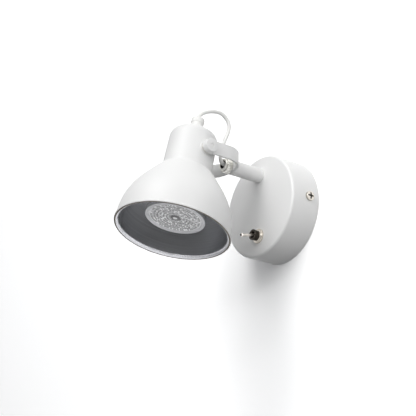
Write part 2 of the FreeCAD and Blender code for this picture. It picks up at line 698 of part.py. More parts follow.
def gland_cap():
    """The gland's round screw cap, its top edge rounded off to the cord."""
    low = HEAD_TOP + GLAND_HEIGHT
    high = gland_top()
    edge = min(GLAND_CAP_EDGE, 0.4 * GLAND_CAP_HEIGHT)
    corner = edge * math.sqrt(0.5)
    wire = Part.Wire([
        line((CORD_RADIUS, low), (GLAND_RADIUS, low)),
        line((GLAND_RADIUS, low), (GLAND_RADIUS, high - edge)),
        arc((GLAND_RADIUS, high - edge), (GLAND_RADIUS - edge + corner, high - edge + corner),
            (GLAND_RADIUS - edge, high)),
        line((GLAND_RADIUS - edge, high), (CORD_RADIUS, high)),
        line((CORD_RADIUS, high), (CORD_RADIUS, low)),
    ])
    return hung(Part.Face(wire).revolve(V(0, 0, 0), V(0, 0, 1), 360))


def strap_top():
    """Height of the lampholder strap's upper face, against the shade's top."""
    return HEAD_TOP - SHADE_WALL


def holder_top():
    """Height of the lampholder's upper face."""
    return LAMP_TOP + HOLDER_HEIGHT


def strap_half():
    """Half the strap's width over its legs, which stand clear of the gland's nut."""
    return GLAND_NUT_RADIUS + FACE_GAP + STRAP_THICK


def strap_hole():
    """Distance from the middle to a screw in the strap's feet, its head clear of the leg."""
    return strap_half() + HOLDER_SCREW_HEAD + FACE_GAP


def strap_end():
    """Distance from the middle to the end of a foot, flush with the lampholder's flat."""
    return strap_hole() + HOLDER_SCREW_RADIUS + 1.0


def holder_strap():
    """The bent strap that hangs the lampholder from the shade's top."""
    high = strap_top()
    low = holder_top()
    half = strap_half()
    end = strap_end()
    t = STRAP_THICK
    points = [(-half, high), (half, high), (half, low + t), (end, low + t), (end, low),
              (half - t, low), (half - t, high - t), (-half + t, high - t), (-half + t, low),
              (-end, low), (-end, low + t), (-half, low + t)]
    wire = Part.makePolygon([V(0, y, z) for y, z in points + points[:1]])
    strap = Part.Face(wire).extrude(V(STRAP_WIDTH, 0, 0))
    strap.translate(V(-STRAP_WIDTH / 2, 0, 0))
    strap = strap.cut(rod(GLAND_STEM_RADIUS, V(0, 0, high - t - 1), V(0, 0, 1), t + 2))
    for side in (-1, 1):
        strap = strap.cut(rod(HOLDER_SCREW_RADIUS, V(0, side * strap_hole(), low - 1), V(0, 0, 1), t + 2))
    return hung(strap)


def gland_nut():
    """The hexagon nut on the gland's stem, under the strap."""
    low = strap_top() - STRAP_THICK - GLAND_NUT_THICK
    nut = prism(GLAND_NUT_RADIUS, 6, V(0, 0, low), V(0, 0, 1), GLAND_NUT_THICK)
    return hung(nut.cut(rod(GLAND_STEM_RADIUS, V(0, 0, low - 1), V(0, 0, 1), GLAND_NUT_THICK + 2)))


def holder_screws():
    """The two screws that hold the lampholder to its strap."""
    screws = []
    for side in (-1, 1):
        seat = V(0, side * strap_hole(), holder_top() + STRAP_THICK)
        screws.append(pan_screw(seat, V(0, 0, 1), HOLDER_SCREW_RADIUS, HOLDER_SCREW_LENGTH,
                                HOLDER_SCREW_HEAD, HOLDER_SCREW_HEIGHT, 0.7))
    return hung(Part.makeCompound(screws))


def lampholder():
    """The ceramic twist-lock lampholder: a flatted puck with two pin slots and screw holes."""
    puck = rod(HOLDER_RADIUS, V(0, 0, LAMP_TOP), V(0, 0, 1), HOLDER_HEIGHT)
    flats = Part.makeBox(2 * HOLDER_RADIUS, 2 * strap_end(), HOLDER_HEIGHT,
                         V(-HOLDER_RADIUS, -strap_end(), LAMP_TOP))
    puck = puck.common(flats)
    grip = HOLDER_SCREW_LENGTH - STRAP_THICK
    for side in (-1, 1):
        x = side * PIN_PITCH / 2
        puck = puck.cut(rod(PIN_HEAD_RADIUS + PIN_PLAY, V(x, 0, LAMP_TOP), V(0, 0, 1), PIN_LENGTH))
        bottom = V(0, side * strap_hole(), holder_top() - grip)
        puck = puck.cut(rod(HOLDER_SCREW_RADIUS, bottom, V(0, 0, 1), grip + 1))
    return hung(puck)


def lamp_pins():
    """The lamp's two mushroom pins, standing in the holder's slots."""
    pins = []
    for side in (-1, 1):
        x = side * PIN_PITCH / 2
        neck = PIN_LENGTH - PIN_HEAD_HEIGHT
        stem = rod(PIN_RADIUS, V(x, 0, LAMP_TOP), V(0, 0, 1), neck)
        head = rod(PIN_HEAD_RADIUS, V(x, 0, LAMP_TOP + neck), V(0, 0, 1), PIN_HEAD_HEIGHT)
        pins.append(stem.fuse(head).removeSplitter())
    return hung(Part.makeCompound(pins))


def lamp_body():
    """The lamp's finned body: narrow base, flared cup and a recess for ring and lens."""
    face = -LAMP_FACE_DROP
    ring = face + LAMP_RING_HEIGHT
    waist = LAMP_TOP - LAMP_BASE_HEIGHT
    shoulder = (LAMP_RADIUS - 0.8, ring + 4.0)
    bend = (0.5 * (LAMP_WAIST_RADIUS + shoulder[0]) - 1.6, 0.5 * (waist + shoulder[1]) + 2.0)
    wire = Part.Wire([
        line((0, LAMP_TOP), (LAMP_BASE_RADIUS, LAMP_TOP)),
        line((LAMP_BASE_RADIUS, LAMP_TOP), (LAMP_BASE_RADIUS, waist)),
        line((LAMP_BASE_RADIUS, waist), (LAMP_WAIST_RADIUS, waist - 2.0)),
        arc((LAMP_WAIST_RADIUS, waist - 2.0), bend, shoulder),
        line(shoulder, (LAMP_RADIUS - 0.8, ring)),
        line((LAMP_RADIUS - 0.8, ring), (0, ring)),
        line((0, ring), (0, LAMP_TOP)),
    ])
    body = Part.Face(wire).revolve(V(0, 0, 0), V(0, 0, 1), 360)
    for i in range(LAMP_FINS):
        slot = Part.makeBox(LAMP_RADIUS, FIN_WIDTH, waist - ring - 11.0,
                            V(LAMP_WAIST_RADIUS - FIN_DEPTH, -FIN_WIDTH / 2, ring + 7.0))
        slot = slot.cut(rod(LAMP_WAIST_RADIUS + 1.4, V(0, 0, ring), V(0, 0, 1), waist - ring))
        slot.rotate(V(0, 0, 0), V(0, 0, 1), 360.0 * i / LAMP_FINS)
        body = body.cut(slot)
    return hung(body)


def lamp_ring():
    """The front ring round the lens."""
    face = -LAMP_FACE_DROP
    inner = LAMP_RADIUS - LAMP_RING_WIDTH
    profile = [
        (inner, face + LAMP_RING_HEIGHT),
        (LAMP_RADIUS, face + LAMP_RING_HEIGHT),
        (LAMP_RADIUS, face + 0.8),
        (LAMP_RADIUS - 0.8, face),
        (inner + 0.5, face),
        (inner, face + 0.6),
    ]
    return hung(turned(profile))


def lamp_lens():
    """The lens: concentric ridges round a raised eye, sunk in the ring."""
    face = -LAMP_FACE_DROP + LENS_SET_BACK
    back = -LAMP_FACE_DROP + LAMP_RING_HEIGHT
    outer = LAMP_RADIUS - LAMP_RING_WIDTH
    step = (outer - LENS_EYE_RADIUS) / LENS_RINGS
    points = [(0, back), (outer, back), (outer, face + LENS_RIDGE)]
    for i in range(LENS_RINGS):
        r = outer - i * step
        points.append((r - 0.5 * step, face))
        points.append((r - step, face + LENS_RIDGE))
    points.append((LENS_EYE_RADIUS - 0.6, face - 0.5 * LENS_EYE_HEIGHT + LENS_RIDGE))
    points.append((0, face - 0.5 * LENS_EYE_HEIGHT + LENS_RIDGE))
    return hung(turned(points))


# ---- cord ----

def rounded_path(points):
    """Straight runs joined by tangent arcs; prints each arc's radius. Returns the wire and its length."""
    edges = []
    start = points[0]
    for before, corner, after in zip(points, points[1:], points[2:]):
        back = (before - corner)
        ahead = (after - corner)
        shorter = min(back.Length, ahead.Length)
        turn = math.pi - back.getAngle(ahead)
        radius = 0.45 * shorter / math.tan(turn / 2)
        cut = 0.45 * shorter
        first = corner + V(back).normalize() * cut
        last = corner + V(ahead).normalize() * cut
        middle_direction = (V(back).normalize() + V(ahead).normalize()).normalize()
        centre = corner + middle_direction * (radius / math.cos(turn / 2))
        middle = centre - middle_direction * radius
        edges.append(Part.LineSegment(start, first).toShape())
        edges.append(Part.Arc(first, middle, last).toShape())
        start = last
        print("cord radius %.1f mm, turn %.0f degrees" % (radius, math.degrees(turn)))
    edges.append(Part.LineSegment(start, points[-1]).toShape())
    wire = Part.Wire(edges)
    return wire, wire.Length


def cord_tube(points):
    """A round cord along a route."""
    wire, length = rounded_path(points)
    direction = (points[1] - points[0]).normalize()
    circle = Part.Wire(Part.Circle(points[0], direction, CORD_RADIUS).toShape())
    tube = wire.makePipeShell([circle], True, True)
    ratio = tube.Volume / (math.pi * CORD_RADIUS ** 2 * length)
    print("cord length %.1f mm, volume over section times length %.4f" % (length, ratio))
    return tube


def gland_exit():
    """Where the cord leaves the gland's cap, and which way."""
    point = V(0, 0, gland_top()) - V(0, HEAD_OFFSET, HEAD_RISE)
    turn = FreeCAD.Rotation(V(1, 0, 0), -HEAD_TILT)
    return PIVOT + turn.multVec(point), turn.multVec(V(0, 0, 1))


def cord():
    """The free cord: up out of the gland, over and down behind the near leg, into the nipple's bush."""
    start, up = gland_exit()
    hand_placed = [
        (0.1, 12.0, 43.0),
        (0.2, 18.3, 45.7),
        (0.4, 25.5, 47.1),
        (0.6, 30.4, 46.2),
        (0.8, 34.4, 43.3),
        (1.0, 36.9, 39.0),
        (1.1, 37.3, 34.0),
        (1.0, 34.9, 27.4),
        (0.8, 32.0, 20.4),
        (0.5, 30.2, 13.6),
        (0.2, 29.3, 7.6),
        (0.0, 29.3, 2.9),
    ]
    points = [start, start + up * CORD_RISE]
    for x, y, z in hand_placed:
        points.append(V(x, PIVOT.y + y, ARM_HEIGHT + z))
    points.append(V(0, MOUTH_Y + 0.4, ARM_HEIGHT))
    points.append(V(0, MOUTH_Y + CORD_END, ARM_HEIGHT))
    return cord_tube(points)


def inner_cord():
    """The cord inside the nipple, from its bush back into the rose and down into the terminal block."""
    top = BLOCK_BOTTOM + BLOCK_SIZE[2]
    out = wire_hole_y()
    start = MOUTH_Y + CORD_END
    points = [
        V(0, start, ARM_HEIGHT),
        V(0, start + 8.0, ARM_HEIGHT),
        V(0, start + 0.5 * (TAIL_Y - start), ARM_HEIGHT + 0.4),
        V(0, TAIL_Y - 4.0, ARM_HEIGHT),
        V(0, out - 6.0, ARM_HEIGHT - 0.8),
        V(0, out - 1.1, ARM_HEIGHT - 4.8),
        V(0, out, top + 4.0),
        V(0, out, top - CORD_GRIP),
    ]
    return cord_tube(points)


def head_cord():
    """The cord inside the gland, from its cap down to the lampholder."""
    low = holder_top()
    return hung(rod(CORD_RADIUS, V(0, 0, low), V(0, 0, 1), gland_top() - low))


NODES = {
    "rose_cover": rose_cover,
    "wall_bracket": wall_bracket,
    "side_screws": side_screws,
    "earth_screw": earth_screw,
    "terminal_block": terminal_block,
    "terminal_screws": terminal_screws,
    "arm_tube": arm_tube,
    "nipple": nipple,
    "rear_washer": rear_washer,
    "rear_nut": rear_nut,
    "arm_washer": arm_washer,
    "web_washer": web_washer,
    "ring_nut": ring_nut,
    "nipple_bush": nipple_bush,
    "switch_bushing": switch_bushing,
    "switch_base_nut": switch_base_nut,
    "switch_dress_nut": switch_dress_nut,
    "switch_back_nut": switch_back_nut,
    "switch_body": switch_body,
    "switch_lever": switch_lever,
    "yoke_bracket": yoke_bracket,
    "pivot_screws": pivot_screws,
    "pivot_nuts": pivot_nuts,
    "shade": shade,
    "pivot_spacers": pivot_spacers,
    "gland_body": gland_body,
    "gland_cap": gland_cap,
    "gland_nut": gland_nut,
    "holder_strap": holder_strap,
    "holder_screws": holder_screws,
    "lampholder": lampholder,
    "lamp_pins": lamp_pins,
    "lamp_body": lamp_body,
    "lamp_ring": lamp_ring,
    "lamp_lens": lamp_lens,
    "cord": cord,
    "inner_cord": inner_cord,
    "head_cord": head_cord,
}


def main():
    """Builds every piece and writes it to parts/ under its own name."""
    os.makedirs("parts", exist_ok=True)
    for name, make in NODES.items():
        shape = make()
        solids = shape.Solids
        if not shape.isValid() or not solids:
            raise ValueError("%s is not a valid solid" % name)
        shape.exportStep("parts/%s.step" % name)
        box = shape.BoundBox
        print("%-18s %2d solid %9.1f mm3  x %.1f..%.1f  y %.1f..%.1f  z %.1f..%.1f" % (
            name, len(solids), shape.Volume, box.XMin, box.XMax, box.YMin, box.YMax, box.ZMin, box.ZMax))


if __name__ == "__main__":
    main()
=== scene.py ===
"""Looks of the pivoting spotlight wall light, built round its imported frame.

Lengths in the shape functions are millimetres and become metres when a mesh is made. The origin
is the middle of the rose's back on the wall, +Z is up and the light reaches out along -Y. Pieces
on the wall are turned about lines along -Y, so a height in their sections is a distance from the
wall. Pieces of the head are made upright round its own axis and then hung in the yoke.
"""
import math

import bmesh
import bpy
import numpy as np
from bpy.props import FloatProperty, FloatVectorProperty, IntProperty, PointerProperty
from mathutils import Matrix, Vector


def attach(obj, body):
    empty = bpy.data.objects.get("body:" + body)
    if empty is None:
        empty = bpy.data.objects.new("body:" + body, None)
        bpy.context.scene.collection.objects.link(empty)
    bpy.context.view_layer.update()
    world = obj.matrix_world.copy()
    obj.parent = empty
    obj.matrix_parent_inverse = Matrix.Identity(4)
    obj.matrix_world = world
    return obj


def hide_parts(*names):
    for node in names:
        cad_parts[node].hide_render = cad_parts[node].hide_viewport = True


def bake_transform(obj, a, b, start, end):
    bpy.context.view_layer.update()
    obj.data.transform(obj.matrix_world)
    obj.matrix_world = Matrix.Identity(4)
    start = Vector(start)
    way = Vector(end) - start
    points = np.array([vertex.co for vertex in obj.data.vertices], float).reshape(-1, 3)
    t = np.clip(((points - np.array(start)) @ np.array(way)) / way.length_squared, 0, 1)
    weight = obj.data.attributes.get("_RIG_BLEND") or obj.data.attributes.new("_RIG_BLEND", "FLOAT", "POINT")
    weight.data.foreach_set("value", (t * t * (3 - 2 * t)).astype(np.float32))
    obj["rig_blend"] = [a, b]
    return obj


bl_info = {
    "name": "Pivoting spotlight wall light",
    "version": (1, 0, 0),
    "blender": (4, 5, 0),
    "location": "3D View > Sidebar > Spotlight",
    "description": "Builds the visible pieces, finishes and studio of a pivoting wall spotlight",
    "category": "Add Mesh",
}

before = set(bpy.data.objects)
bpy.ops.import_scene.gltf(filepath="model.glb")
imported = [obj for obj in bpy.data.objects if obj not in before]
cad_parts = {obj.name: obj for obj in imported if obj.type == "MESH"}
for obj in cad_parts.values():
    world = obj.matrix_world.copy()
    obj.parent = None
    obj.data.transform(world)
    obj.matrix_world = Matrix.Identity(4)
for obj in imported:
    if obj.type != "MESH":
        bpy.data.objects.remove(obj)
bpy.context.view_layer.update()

MM = 0.001
TURN = 2 * math.pi
ROOM = (0, -1, 0)

# ---- main sizes and places, in millimetres ----
ROSE_RADIUS = 45.2
ROSE_WALL = 1.4
ROSE_FRONT = 28.6
SIDE_SCREW_Y = -10.6
ARM_AXIS = (0, 0, 28.2)
ARM_RADIUS = 6.5
ARM_BORE = 5.15
ARM_END = 58.4
NUT_BACK, NUT_FRONT = 62.8, 66.4
NIPPLE_RADIUS = 5.0
NIPPLE_BORE = 4.0
NIPPLE_MOUTH = 67.4
SWITCH_AXIS = (0, 0, -27.3)
SWITCH_RADIUS = 3.9
SWITCH_COLLAR = ROSE_FRONT + 3.0
SWITCH_MOUTH = 35.8
PIVOT = np.array((0.0, -99.9, 28.2))
PIVOT_BORE = 2.56
YOKE_HALF_SPAN = 24.3
YOKE_THICK = 2.0
YOKE_EAR = 6.0
HEAD_OFFSET = 2.25
HEAD_RISE = 0.5
HEAD_TILT = math.radians(12.4)
HEAD_TOP = 21.2
GLAND_JOINT, GLAND_TOP = 30.7, 35.9
CORD_RADIUS = 1.7
STEM_RADIUS = 3.4
LAMP_FACE = -61.8
LAMP_LENGTH = 54.0
LAMP_RING_BACK = LAMP_FACE + 3.4
LENS_RADIUS = 21.8
LENS_BAND = 99.0  # the ring number that stands for the lens's plain outer band


# ---- settings ----

def length_setting(name, description, default, low, high):
    """A length, given here in millimetres."""
    return FloatProperty(name=name, description=description, default=default * MM, min=low * MM,
                         max=high * MM, unit="LENGTH")


class SpotSizes(bpy.types.PropertyGroup):
    """Sizes that a user may change."""
    rose_edge: length_setting("Rose edge radius", "Rounding of the rose's front edge", 2.2, 0.2, 6)
    sheet_edge: length_setting("Sheet edge radius", "Rounding of the yoke strip's long edges",
                               0.35, 0.05, 0.9)
    lens_rings: IntProperty(name="Lens rings", description="Rings of facets on the lens",
                            default=13, min=3, max=30)
    lens_relief: length_setting("Lens relief", "Height of a lens facet", 0.30, 0.0, 0.6)
    cord_diameter: length_setting("Cord diameter", "Outer diameter of the free cord", 3.4, 1, 5)


def colour_setting(name, description, default):
    return FloatVectorProperty(name=name, description=description, default=default, size=3,
                               min=0.0, max=1.0, subtype="COLOR")


class SpotColours(bpy.types.PropertyGroup):
    """Colours that a user may change."""
    coat: colour_setting("Powder coat", "Colour of the coated metal", (0.78, 0.78, 0.775))
    lining: colour_setting("Shade lining", "Colour of the metallic paint inside the shade",
                           (0.52, 0.525, 0.54))
    plating: colour_setting("Plating", "Colour of the nickel-plated pieces", (0.66, 0.61, 0.54))
    cord: colour_setting("Cord", "Colour of the cord's jacket", (0.84, 0.84, 0.82))


def sizes():
    return bpy.context.scene.spot_sizes


# ---- shader maths ----

class Value:
    """A shader socket: arithmetic on it adds Math nodes."""

    def __init__(self, nodes, socket):
        self.nodes = nodes
        self.socket = socket

    def math(self, operation, *others):
        node = self.nodes.add("ShaderNodeMath", {"operation": operation}, self, *others)
        return Value(self.nodes, node.outputs[0])

    def __add__(self, other):
        return self.math("ADD", other)

    def __mul__(self, other):
        return self.math("MULTIPLY", other)

    def __sub__(self, other):
        return self.math("SUBTRACT", other)

    def __rsub__(self, other):
        return (self * -1.0) + other


class Nodes:
    """A node tree, and short ways to add to it."""

    def __init__(self, tree):
        self.tree = tree

    def give(self, socket, value):
        """Links a value to a socket, or sets the socket to a plain number or colour."""
        if isinstance(value, Value):
            value = value.socket
        if isinstance(value, bpy.types.NodeSocket):
            self.tree.links.new(value, socket)
        else:
            socket.default_value = value

    def add(self, kind, settings=None, *inputs, **named):
        """A node of that kind: its settings come first, then what its sockets are given."""
        node = self.tree.nodes.new(kind)
        for key, value in (settings or {}).items():
            setattr(node, key, value)
        pairs = [(key.replace("_", " "), value) for key, value in named.items()]
        for key, value in list(enumerate(inputs)) + pairs:
            self.give(node.inputs[key], value)
        return node

    def read(self, node, output=0):
        return Value(self, node.outputs[output])

    def place(self):
        """Object coordinates, in metres."""
        return self.add("ShaderNodeTexCoord").outputs["Object"]

    def map_parts(self, name):
        """The two coordinates of a map of the piece's own."""
        layer = self.add("ShaderNodeUVMap", {"uv_map": name})
        parts = self.add("ShaderNodeSeparateXYZ", None, layer.outputs["UV"])
        return self.read(parts, "X"), self.read(parts, "Y")

    def noise(self, scale, detail=2.0, rough=0.5, where=None):
        """Smooth noise from 0 to 1 with grains about 1 / scale metres wide."""
        node = self.add("ShaderNodeTexNoise", None, Vector=where or self.place(), Scale=scale,
                        Detail=detail, Roughness=rough)
        return self.read(node, "Fac")

    def mix(self, factor, first, second):
        """The colour between two, by a factor."""
        node = self.add("ShaderNodeMix", {"data_type": "RGBA"})
        for number, value in ((0, factor), (6, (*first, 1.0)), (7, (*second, 1.0))):
            self.give(node.inputs[number], value)
        return node.outputs[2]


class Finish(Nodes):
    """One material: a Principled shader, and the nodes that feed it."""

    def __init__(self, name, colour, roughness, metallic=0.0, fixed=None):
        self.material = bpy.data.materials.new(name)
        self.material.use_nodes = True
        super().__init__(self.material.node_tree)
        self.colour = tuple(colour)
        self.shader = next(n for n in self.tree.nodes if n.type == "BSDF_PRINCIPLED")
        plain = {"Base Color": (*colour, 1.0), "Roughness": roughness, "Metallic": metallic}
        for socket, value in {**plain, **(fixed or {})}.items():
            self.feed(socket, value)

    def feed(self, socket, value):
        self.give(self.shader.inputs[socket], value)

    def tint(self, factor, darker, lighter):
        """Base Color between two shades of the finish's own colour."""
        first, second = shade_of(self.colour, darker), shade_of(self.colour, lighter)
        self.feed("Base Color", self.mix(factor, first, second))

    def rough(self, value):
        self.feed("Roughness", value)

    def bump(self, height, strength, distance):
        node = self.add("ShaderNodeBump", None, Strength=strength, Distance=distance, Height=height)
        self.feed("Normal", node.outputs["Normal"])


def shade_of(colour, factor):
    """A colour made lighter or darker."""
    return tuple(min(1.0, c * factor) for c in colour)


def powder_coat(name, colour):
    """Orange-peel powder coat: small smooth grains, faint cloudiness and drifting gloss."""
    f = Finish(name, colour, 0.42, fixed={"Specular IOR Level": 0.45})
    f.tint(f.noise(26.0, 3.0), 0.985, 1.015)
    f.rough(f.noise(190.0) * 0.10 + 0.38)
    f.bump(f.noise(1300.0, 2.0, 0.55), 0.10, 0.00012)
    return f


def spun_lining(name, colour):
    """Metallic paint on spun metal: fine turning lines that follow the profile."""
    f = Finish(name, colour, 0.32, 0.88)
    turn, along = f.map_parts("profile")
    spot = f.add("ShaderNodeCombineXYZ", None, turn * 3.0, along * 420.0, 0.0)
    lines = f.noise(1.0, 3.0, 0.6, spot.outputs["Vector"])
    f.tint(lines, 0.72, 1.35)
    f.rough(lines * 0.16 + 0.26)
    f.bump(lines, 0.30, 0.00009)
    return f


def plated(name, colour, roughness):
    """Polished plating: hairline scratches along one direction, and slight dulling."""
    f = Finish(name, colour, roughness, 1.0)
    stretch = f.add("ShaderNodeMapping", {"vector_type": "POINT"}, Vector=f.place(),
                    Scale=(2600.0, 180.0, 2600.0))
    hair = f.noise(1.0, 2.0, 0.6, stretch.outputs["Vector"])
    haze = f.noise(420.0)
    f.tint(haze, 0.86, 1.1)
    f.rough(hair * 0.10 + haze * 0.08 + (roughness - 0.06))
    f.bump(hair, 0.05, 0.00004)
    return f


def zinc(name, colour):
    """Zinc-plated steel: spangled clouds of two greys and a dull sheen."""
    f = Finish(name, colour, 0.38, 1.0)
    cells = f.add("ShaderNodeTexVoronoi", None, Vector=f.place(), Scale=520.0)
    spangle = f.read(cells, "Distance")
    f.tint(spangle * 1.6, 0.82, 1.15)
    f.rough(f.noise(300.0) * 0.18 + 0.28)
    f.bump(spangle, 0.06, 0.00006)
    return f


def moulded(name, colour, roughness):
    """Moulded plastic: fine spark-eroded grain and a faint flow cloud."""
    f = Finish(name, colour, roughness, fixed={"Specular IOR Level": 0.4})
    f.tint(f.noise(60.0), 0.97, 1.03)
    f.rough(f.noise(700.0) * 0.10 + (roughness - 0.05))
    f.bump(f.noise(2600.0), 0.08, 0.00006)
    return f


def jacket(name, colour):
    """Cord jacket: soft plastic with faint rings left by its making and a slight scuff."""
    f = Finish(name, colour, 0.5, fixed={"Specular IOR Level": 0.4})
    _, along = f.map_parts("length")
    rings = (along * 9000.0).math("SINE") * 0.5 + 0.5
    f.tint(f.noise(130.0), 0.965, 1.03)
    f.rough(f.noise(500.0) * 0.12 + 0.44)
    f.bump(rings * 0.2 + f.noise(1800.0), 0.03, 0.00004)
    return f


def unglazed(name, colour):
    """Unglazed ceramic: chalky grain with small pits."""
    f = Finish(name, colour, 0.7)
    grain = f.noise(900.0, 4.0, 0.65)
    f.tint(grain, 0.93, 1.05)
    f.rough(grain * 0.15 + 0.6)
    f.bump(grain, 0.15, 0.0001)
    return f


def cast_lamp(name, colour):
    """The lamp's metallic-coated plastic: satin grey with a fine sparkle."""
    f = Finish(name, colour, 0.42, 0.35)
    sparkle = f.noise(2300.0, 1.0)
    f.tint(sparkle, 0.90, 1.08)
    f.rough(f.noise(260.0) * 0.12 + 0.36)
    f.bump(sparkle, 0.06, 0.00005)
    return f


def faceted_lens(name):
    """Pressed lens: each facet is painted its own grey, painted light and shade for the light it bends its
    own way.

    The map's whole numbers name a facet: its place round the ring, and its ring. Ring 0 is the
    eye's pit, ring 1 the dome round it, painted dark, LENS_BAND the plain band, painted pale. The
    same greys feed a painted glow, which stands for the light that the reflector behind the lens
    sends back.
    """
    f = Finish(name, (0.7, 0.7, 0.71), 0.22,
               fixed={"Coat Roughness": 0.08, "IOR": 1.49, "Emission Strength": 1.0})
    turn, row = (part.math("FLOOR") for part in f.map_parts("facets"))
    cell = f.add("ShaderNodeCombineXYZ", None, turn, row, 0.0)
    own = f.read(f.add("ShaderNodeTexWhiteNoise", {"noise_dimensions": "3D"},
                       Vector=cell.outputs["Vector"]), "Value")
    fine = f.noise(1100.0, 2.0, 0.7)
    band = row.math("GREATER_THAN", LENS_BAND - 0.5)
    faceted = row.math("GREATER_THAN", 1.5) * row.math("LESS_THAN", LENS_BAND - 0.5)
    dome = row.math("GREATER_THAN", 0.5) * row.math("LESS_THAN", 1.5)
    ridge = (row * 0.5).math("FRACT")
    # Painted glints: bright facets, a fine speckle, and rings made lighter and darker by turns.
    sparkle = own.math("GREATER_THAN", 0.82) * 0.7 + (fine - 0.32) * 1.6 + ridge * 0.5
    grey = faceted * sparkle + band * (fine * 0.3 + 0.5) + dome * 0.05
    grey = grey + (1.0 - faceted - band - dome) * (fine * 0.6 + 0.45)
    f.feed("Base Color", f.mix(grey, (0.08, 0.08, 0.085), (1.0, 1.0, 1.0)))
    # Painted glow: the unlit lens shines by itself, for the light its reflector sends back.
    f.feed("Emission Color", f.mix(grey, (0.0, 0.0, 0.0), (0.30, 0.30, 0.31)))
    f.rough(own * 0.15 + 0.14)
    f.feed("Coat Weight", own * 0.4 + 0.3)
    f.bump(fine, 0.12, 0.0001)
    return f


FINISHES = {}


def finish(name):
    """The finished material of that name, made once."""
    if not FINISHES:
        c = bpy.context.scene.spot_colours
        FINISHES.update({
            "coat": powder_coat("white_powder_coat", c.coat),
            # The same powder coat made a tenth lighter for the rose: painted light, standing in for light
            # the lamps don't bring to the rose's face.
            "rose_coat_painted_light": powder_coat("powder_coat_painted_lighter", shade_of(c.coat, 1.10)),
            "lining": spun_lining("spun_grey_lining", c.lining),
            "rim_silver": plated("rim_silver", (0.64, 0.64, 0.665), 0.24),
            # Near-black on the lip's underside, where it faces down: painted shade.
            "lip_painted_shade": plated("lip_underside_painted_shade", (0.10, 0.085, 0.070), 0.35),
            "nickel": plated("bright_nickel", c.plating, 0.2),
            "pale_nickel": plated("pale_nickel", (0.80, 0.79, 0.75), 0.40),
            "cream_nickel": plated("cream_nickel", (0.90, 0.85, 0.79), 0.28),
            "screw_steel": plated("screw_steel", (0.50, 0.47, 0.43), 0.2),
            # Near-black for the screws' cross recess: painted shade.
            "recess": plated("recess_painted_shade", (0.045, 0.038, 0.030), 0.3),
            # Near-black metal on the switch's tall nut and bushing: painted reflection, the dark surround
            # that polished nickel would mirror. The lever's tip takes it too.
            "nickel_painted_dark": plated("nickel_painted_dark", (0.050, 0.043, 0.036), 0.13),
            "zinc": zinc("zinc_plate", (0.50, 0.51, 0.52)),
            "brass": plated("plain_brass", (0.62, 0.46, 0.20), 0.26),
            "white_plastic": moulded("white_moulding", (0.82, 0.82, 0.80), 0.45),
            "grey_plastic": moulded("grey_moulding", (0.30, 0.31, 0.32), 0.45),
            "black_plastic": moulded("black_moulding", (0.02, 0.02, 0.022), 0.3),
            "cord": jacket("white_cord_jacket", c.cord),
            "ceramic": unglazed("unglazed_ceramic", (0.78, 0.75, 0.68)),
            "lamp": cast_lamp("satin_lamp_grey", (0.50, 0.50, 0.50)),
            "lamp_rim": cast_lamp("pale_lamp_grey", (0.86, 0.86, 0.88)),
            "lens": faceted_lens("pressed_lens"),
        })
    return FINISHES[name].material


# ---- outlines and grids of points ----

def arc3(a, b, c, steps):
    """Points along the circle through three points; its centre is where two bisectors meet."""
    a, b, c = (np.array(p, float) for p in (a, b, c))
    m = np.array((b - a, c - a)) * 2
    centre = np.linalg.solve(m, np.array((b @ b - a @ a, c @ c - a @ a)))
    angles = np.unwrap([math.atan2(*(p - centre)[::-1]) for p in (a, b, c)])
    t = np.linspace(angles[0], angles[2], steps)
    radius = np.linalg.norm(a - centre)
    return centre + radius * np.stack((np.cos(t), np.sin(t)), -1)


def rounded(corners, steps=5):
    """A closed outline of corners (x, y, radius), each made the arc that touches both sides."""
    points = []
    xy = np.array([c[:2] for c in corners], float)
    for i, corner in enumerate(xy):
        radius = corners[i][2]
        back = xy[i - 1] - corner
        ahead = xy[(i + 1) % len(xy)] - corner
        if radius <= 0:
            points.append(corner[None])
            continue
        sides = np.linalg.norm(back), np.linalg.norm(ahead)
        u, v = back / sides[0], ahead / sides[1]
        half = math.acos(np.clip(u @ v, -1, 1)) / 2
        reach = min(radius / math.tan(half), 0.49 * min(sides))
        bisector = (u + v) / np.linalg.norm(u + v)
        centre = corner + bisector * reach / math.cos(half)
        inner = centre - bisector * (reach * math.tan(half))
        points.append(arc3(corner + u * reach, inner, corner + v * reach, steps))
    return np.concatenate(points)


def tube_profile(outer, inner, low, high, edge):
    """The closed section of a ring, its outer corners rounded."""
    return rounded([(inner, low, 0), (outer, low, edge), (outer, high, edge), (inner, high, 0)])


def turn_angles(turns):
    return np.linspace(0, TURN, turns, endpoint=False)[:, None]


def lathe(profile, turns):
    """Surface of revolution: (r, h) of the profile at angle a lies at (r cos a, r sin a, h)."""
    r, h = np.asarray(profile, float).T
    a = turn_angles(turns)
    return np.stack((r * np.cos(a), r * np.sin(a), np.broadcast_to(h, (turns, len(h)))), -1)


def polar(points):
    """The turn of each row of a lathed grid, and the radius and height of each point."""
    return turn_angles(len(points)), np.hypot(points[..., 0], points[..., 1]), points[..., 2]


def widened(points, scale):
    """A lathed grid whose radii are multiplied by a scale."""
    return points * np.stack((scale, scale, np.ones_like(scale)), -1)


def basis(out):
    """Three right-handed unit vectors, the last one along out, as columns."""
    out = np.array(out, float)
    out /= np.linalg.norm(out)
    helper = np.array((0.0, 0.0, 1.0)) if abs(out[2]) < 0.9 else np.array((1.0, 0.0, 0.0))
    first = np.cross(helper, out)
    first /= np.linalg.norm(first)
    return np.stack((first, np.cross(out, first), out), -1)


def stand(points, origin, out):
    """Points made round their own Z axis, set on origin with that axis along out."""
    return points @ basis(out).T + np.asarray(origin, float)


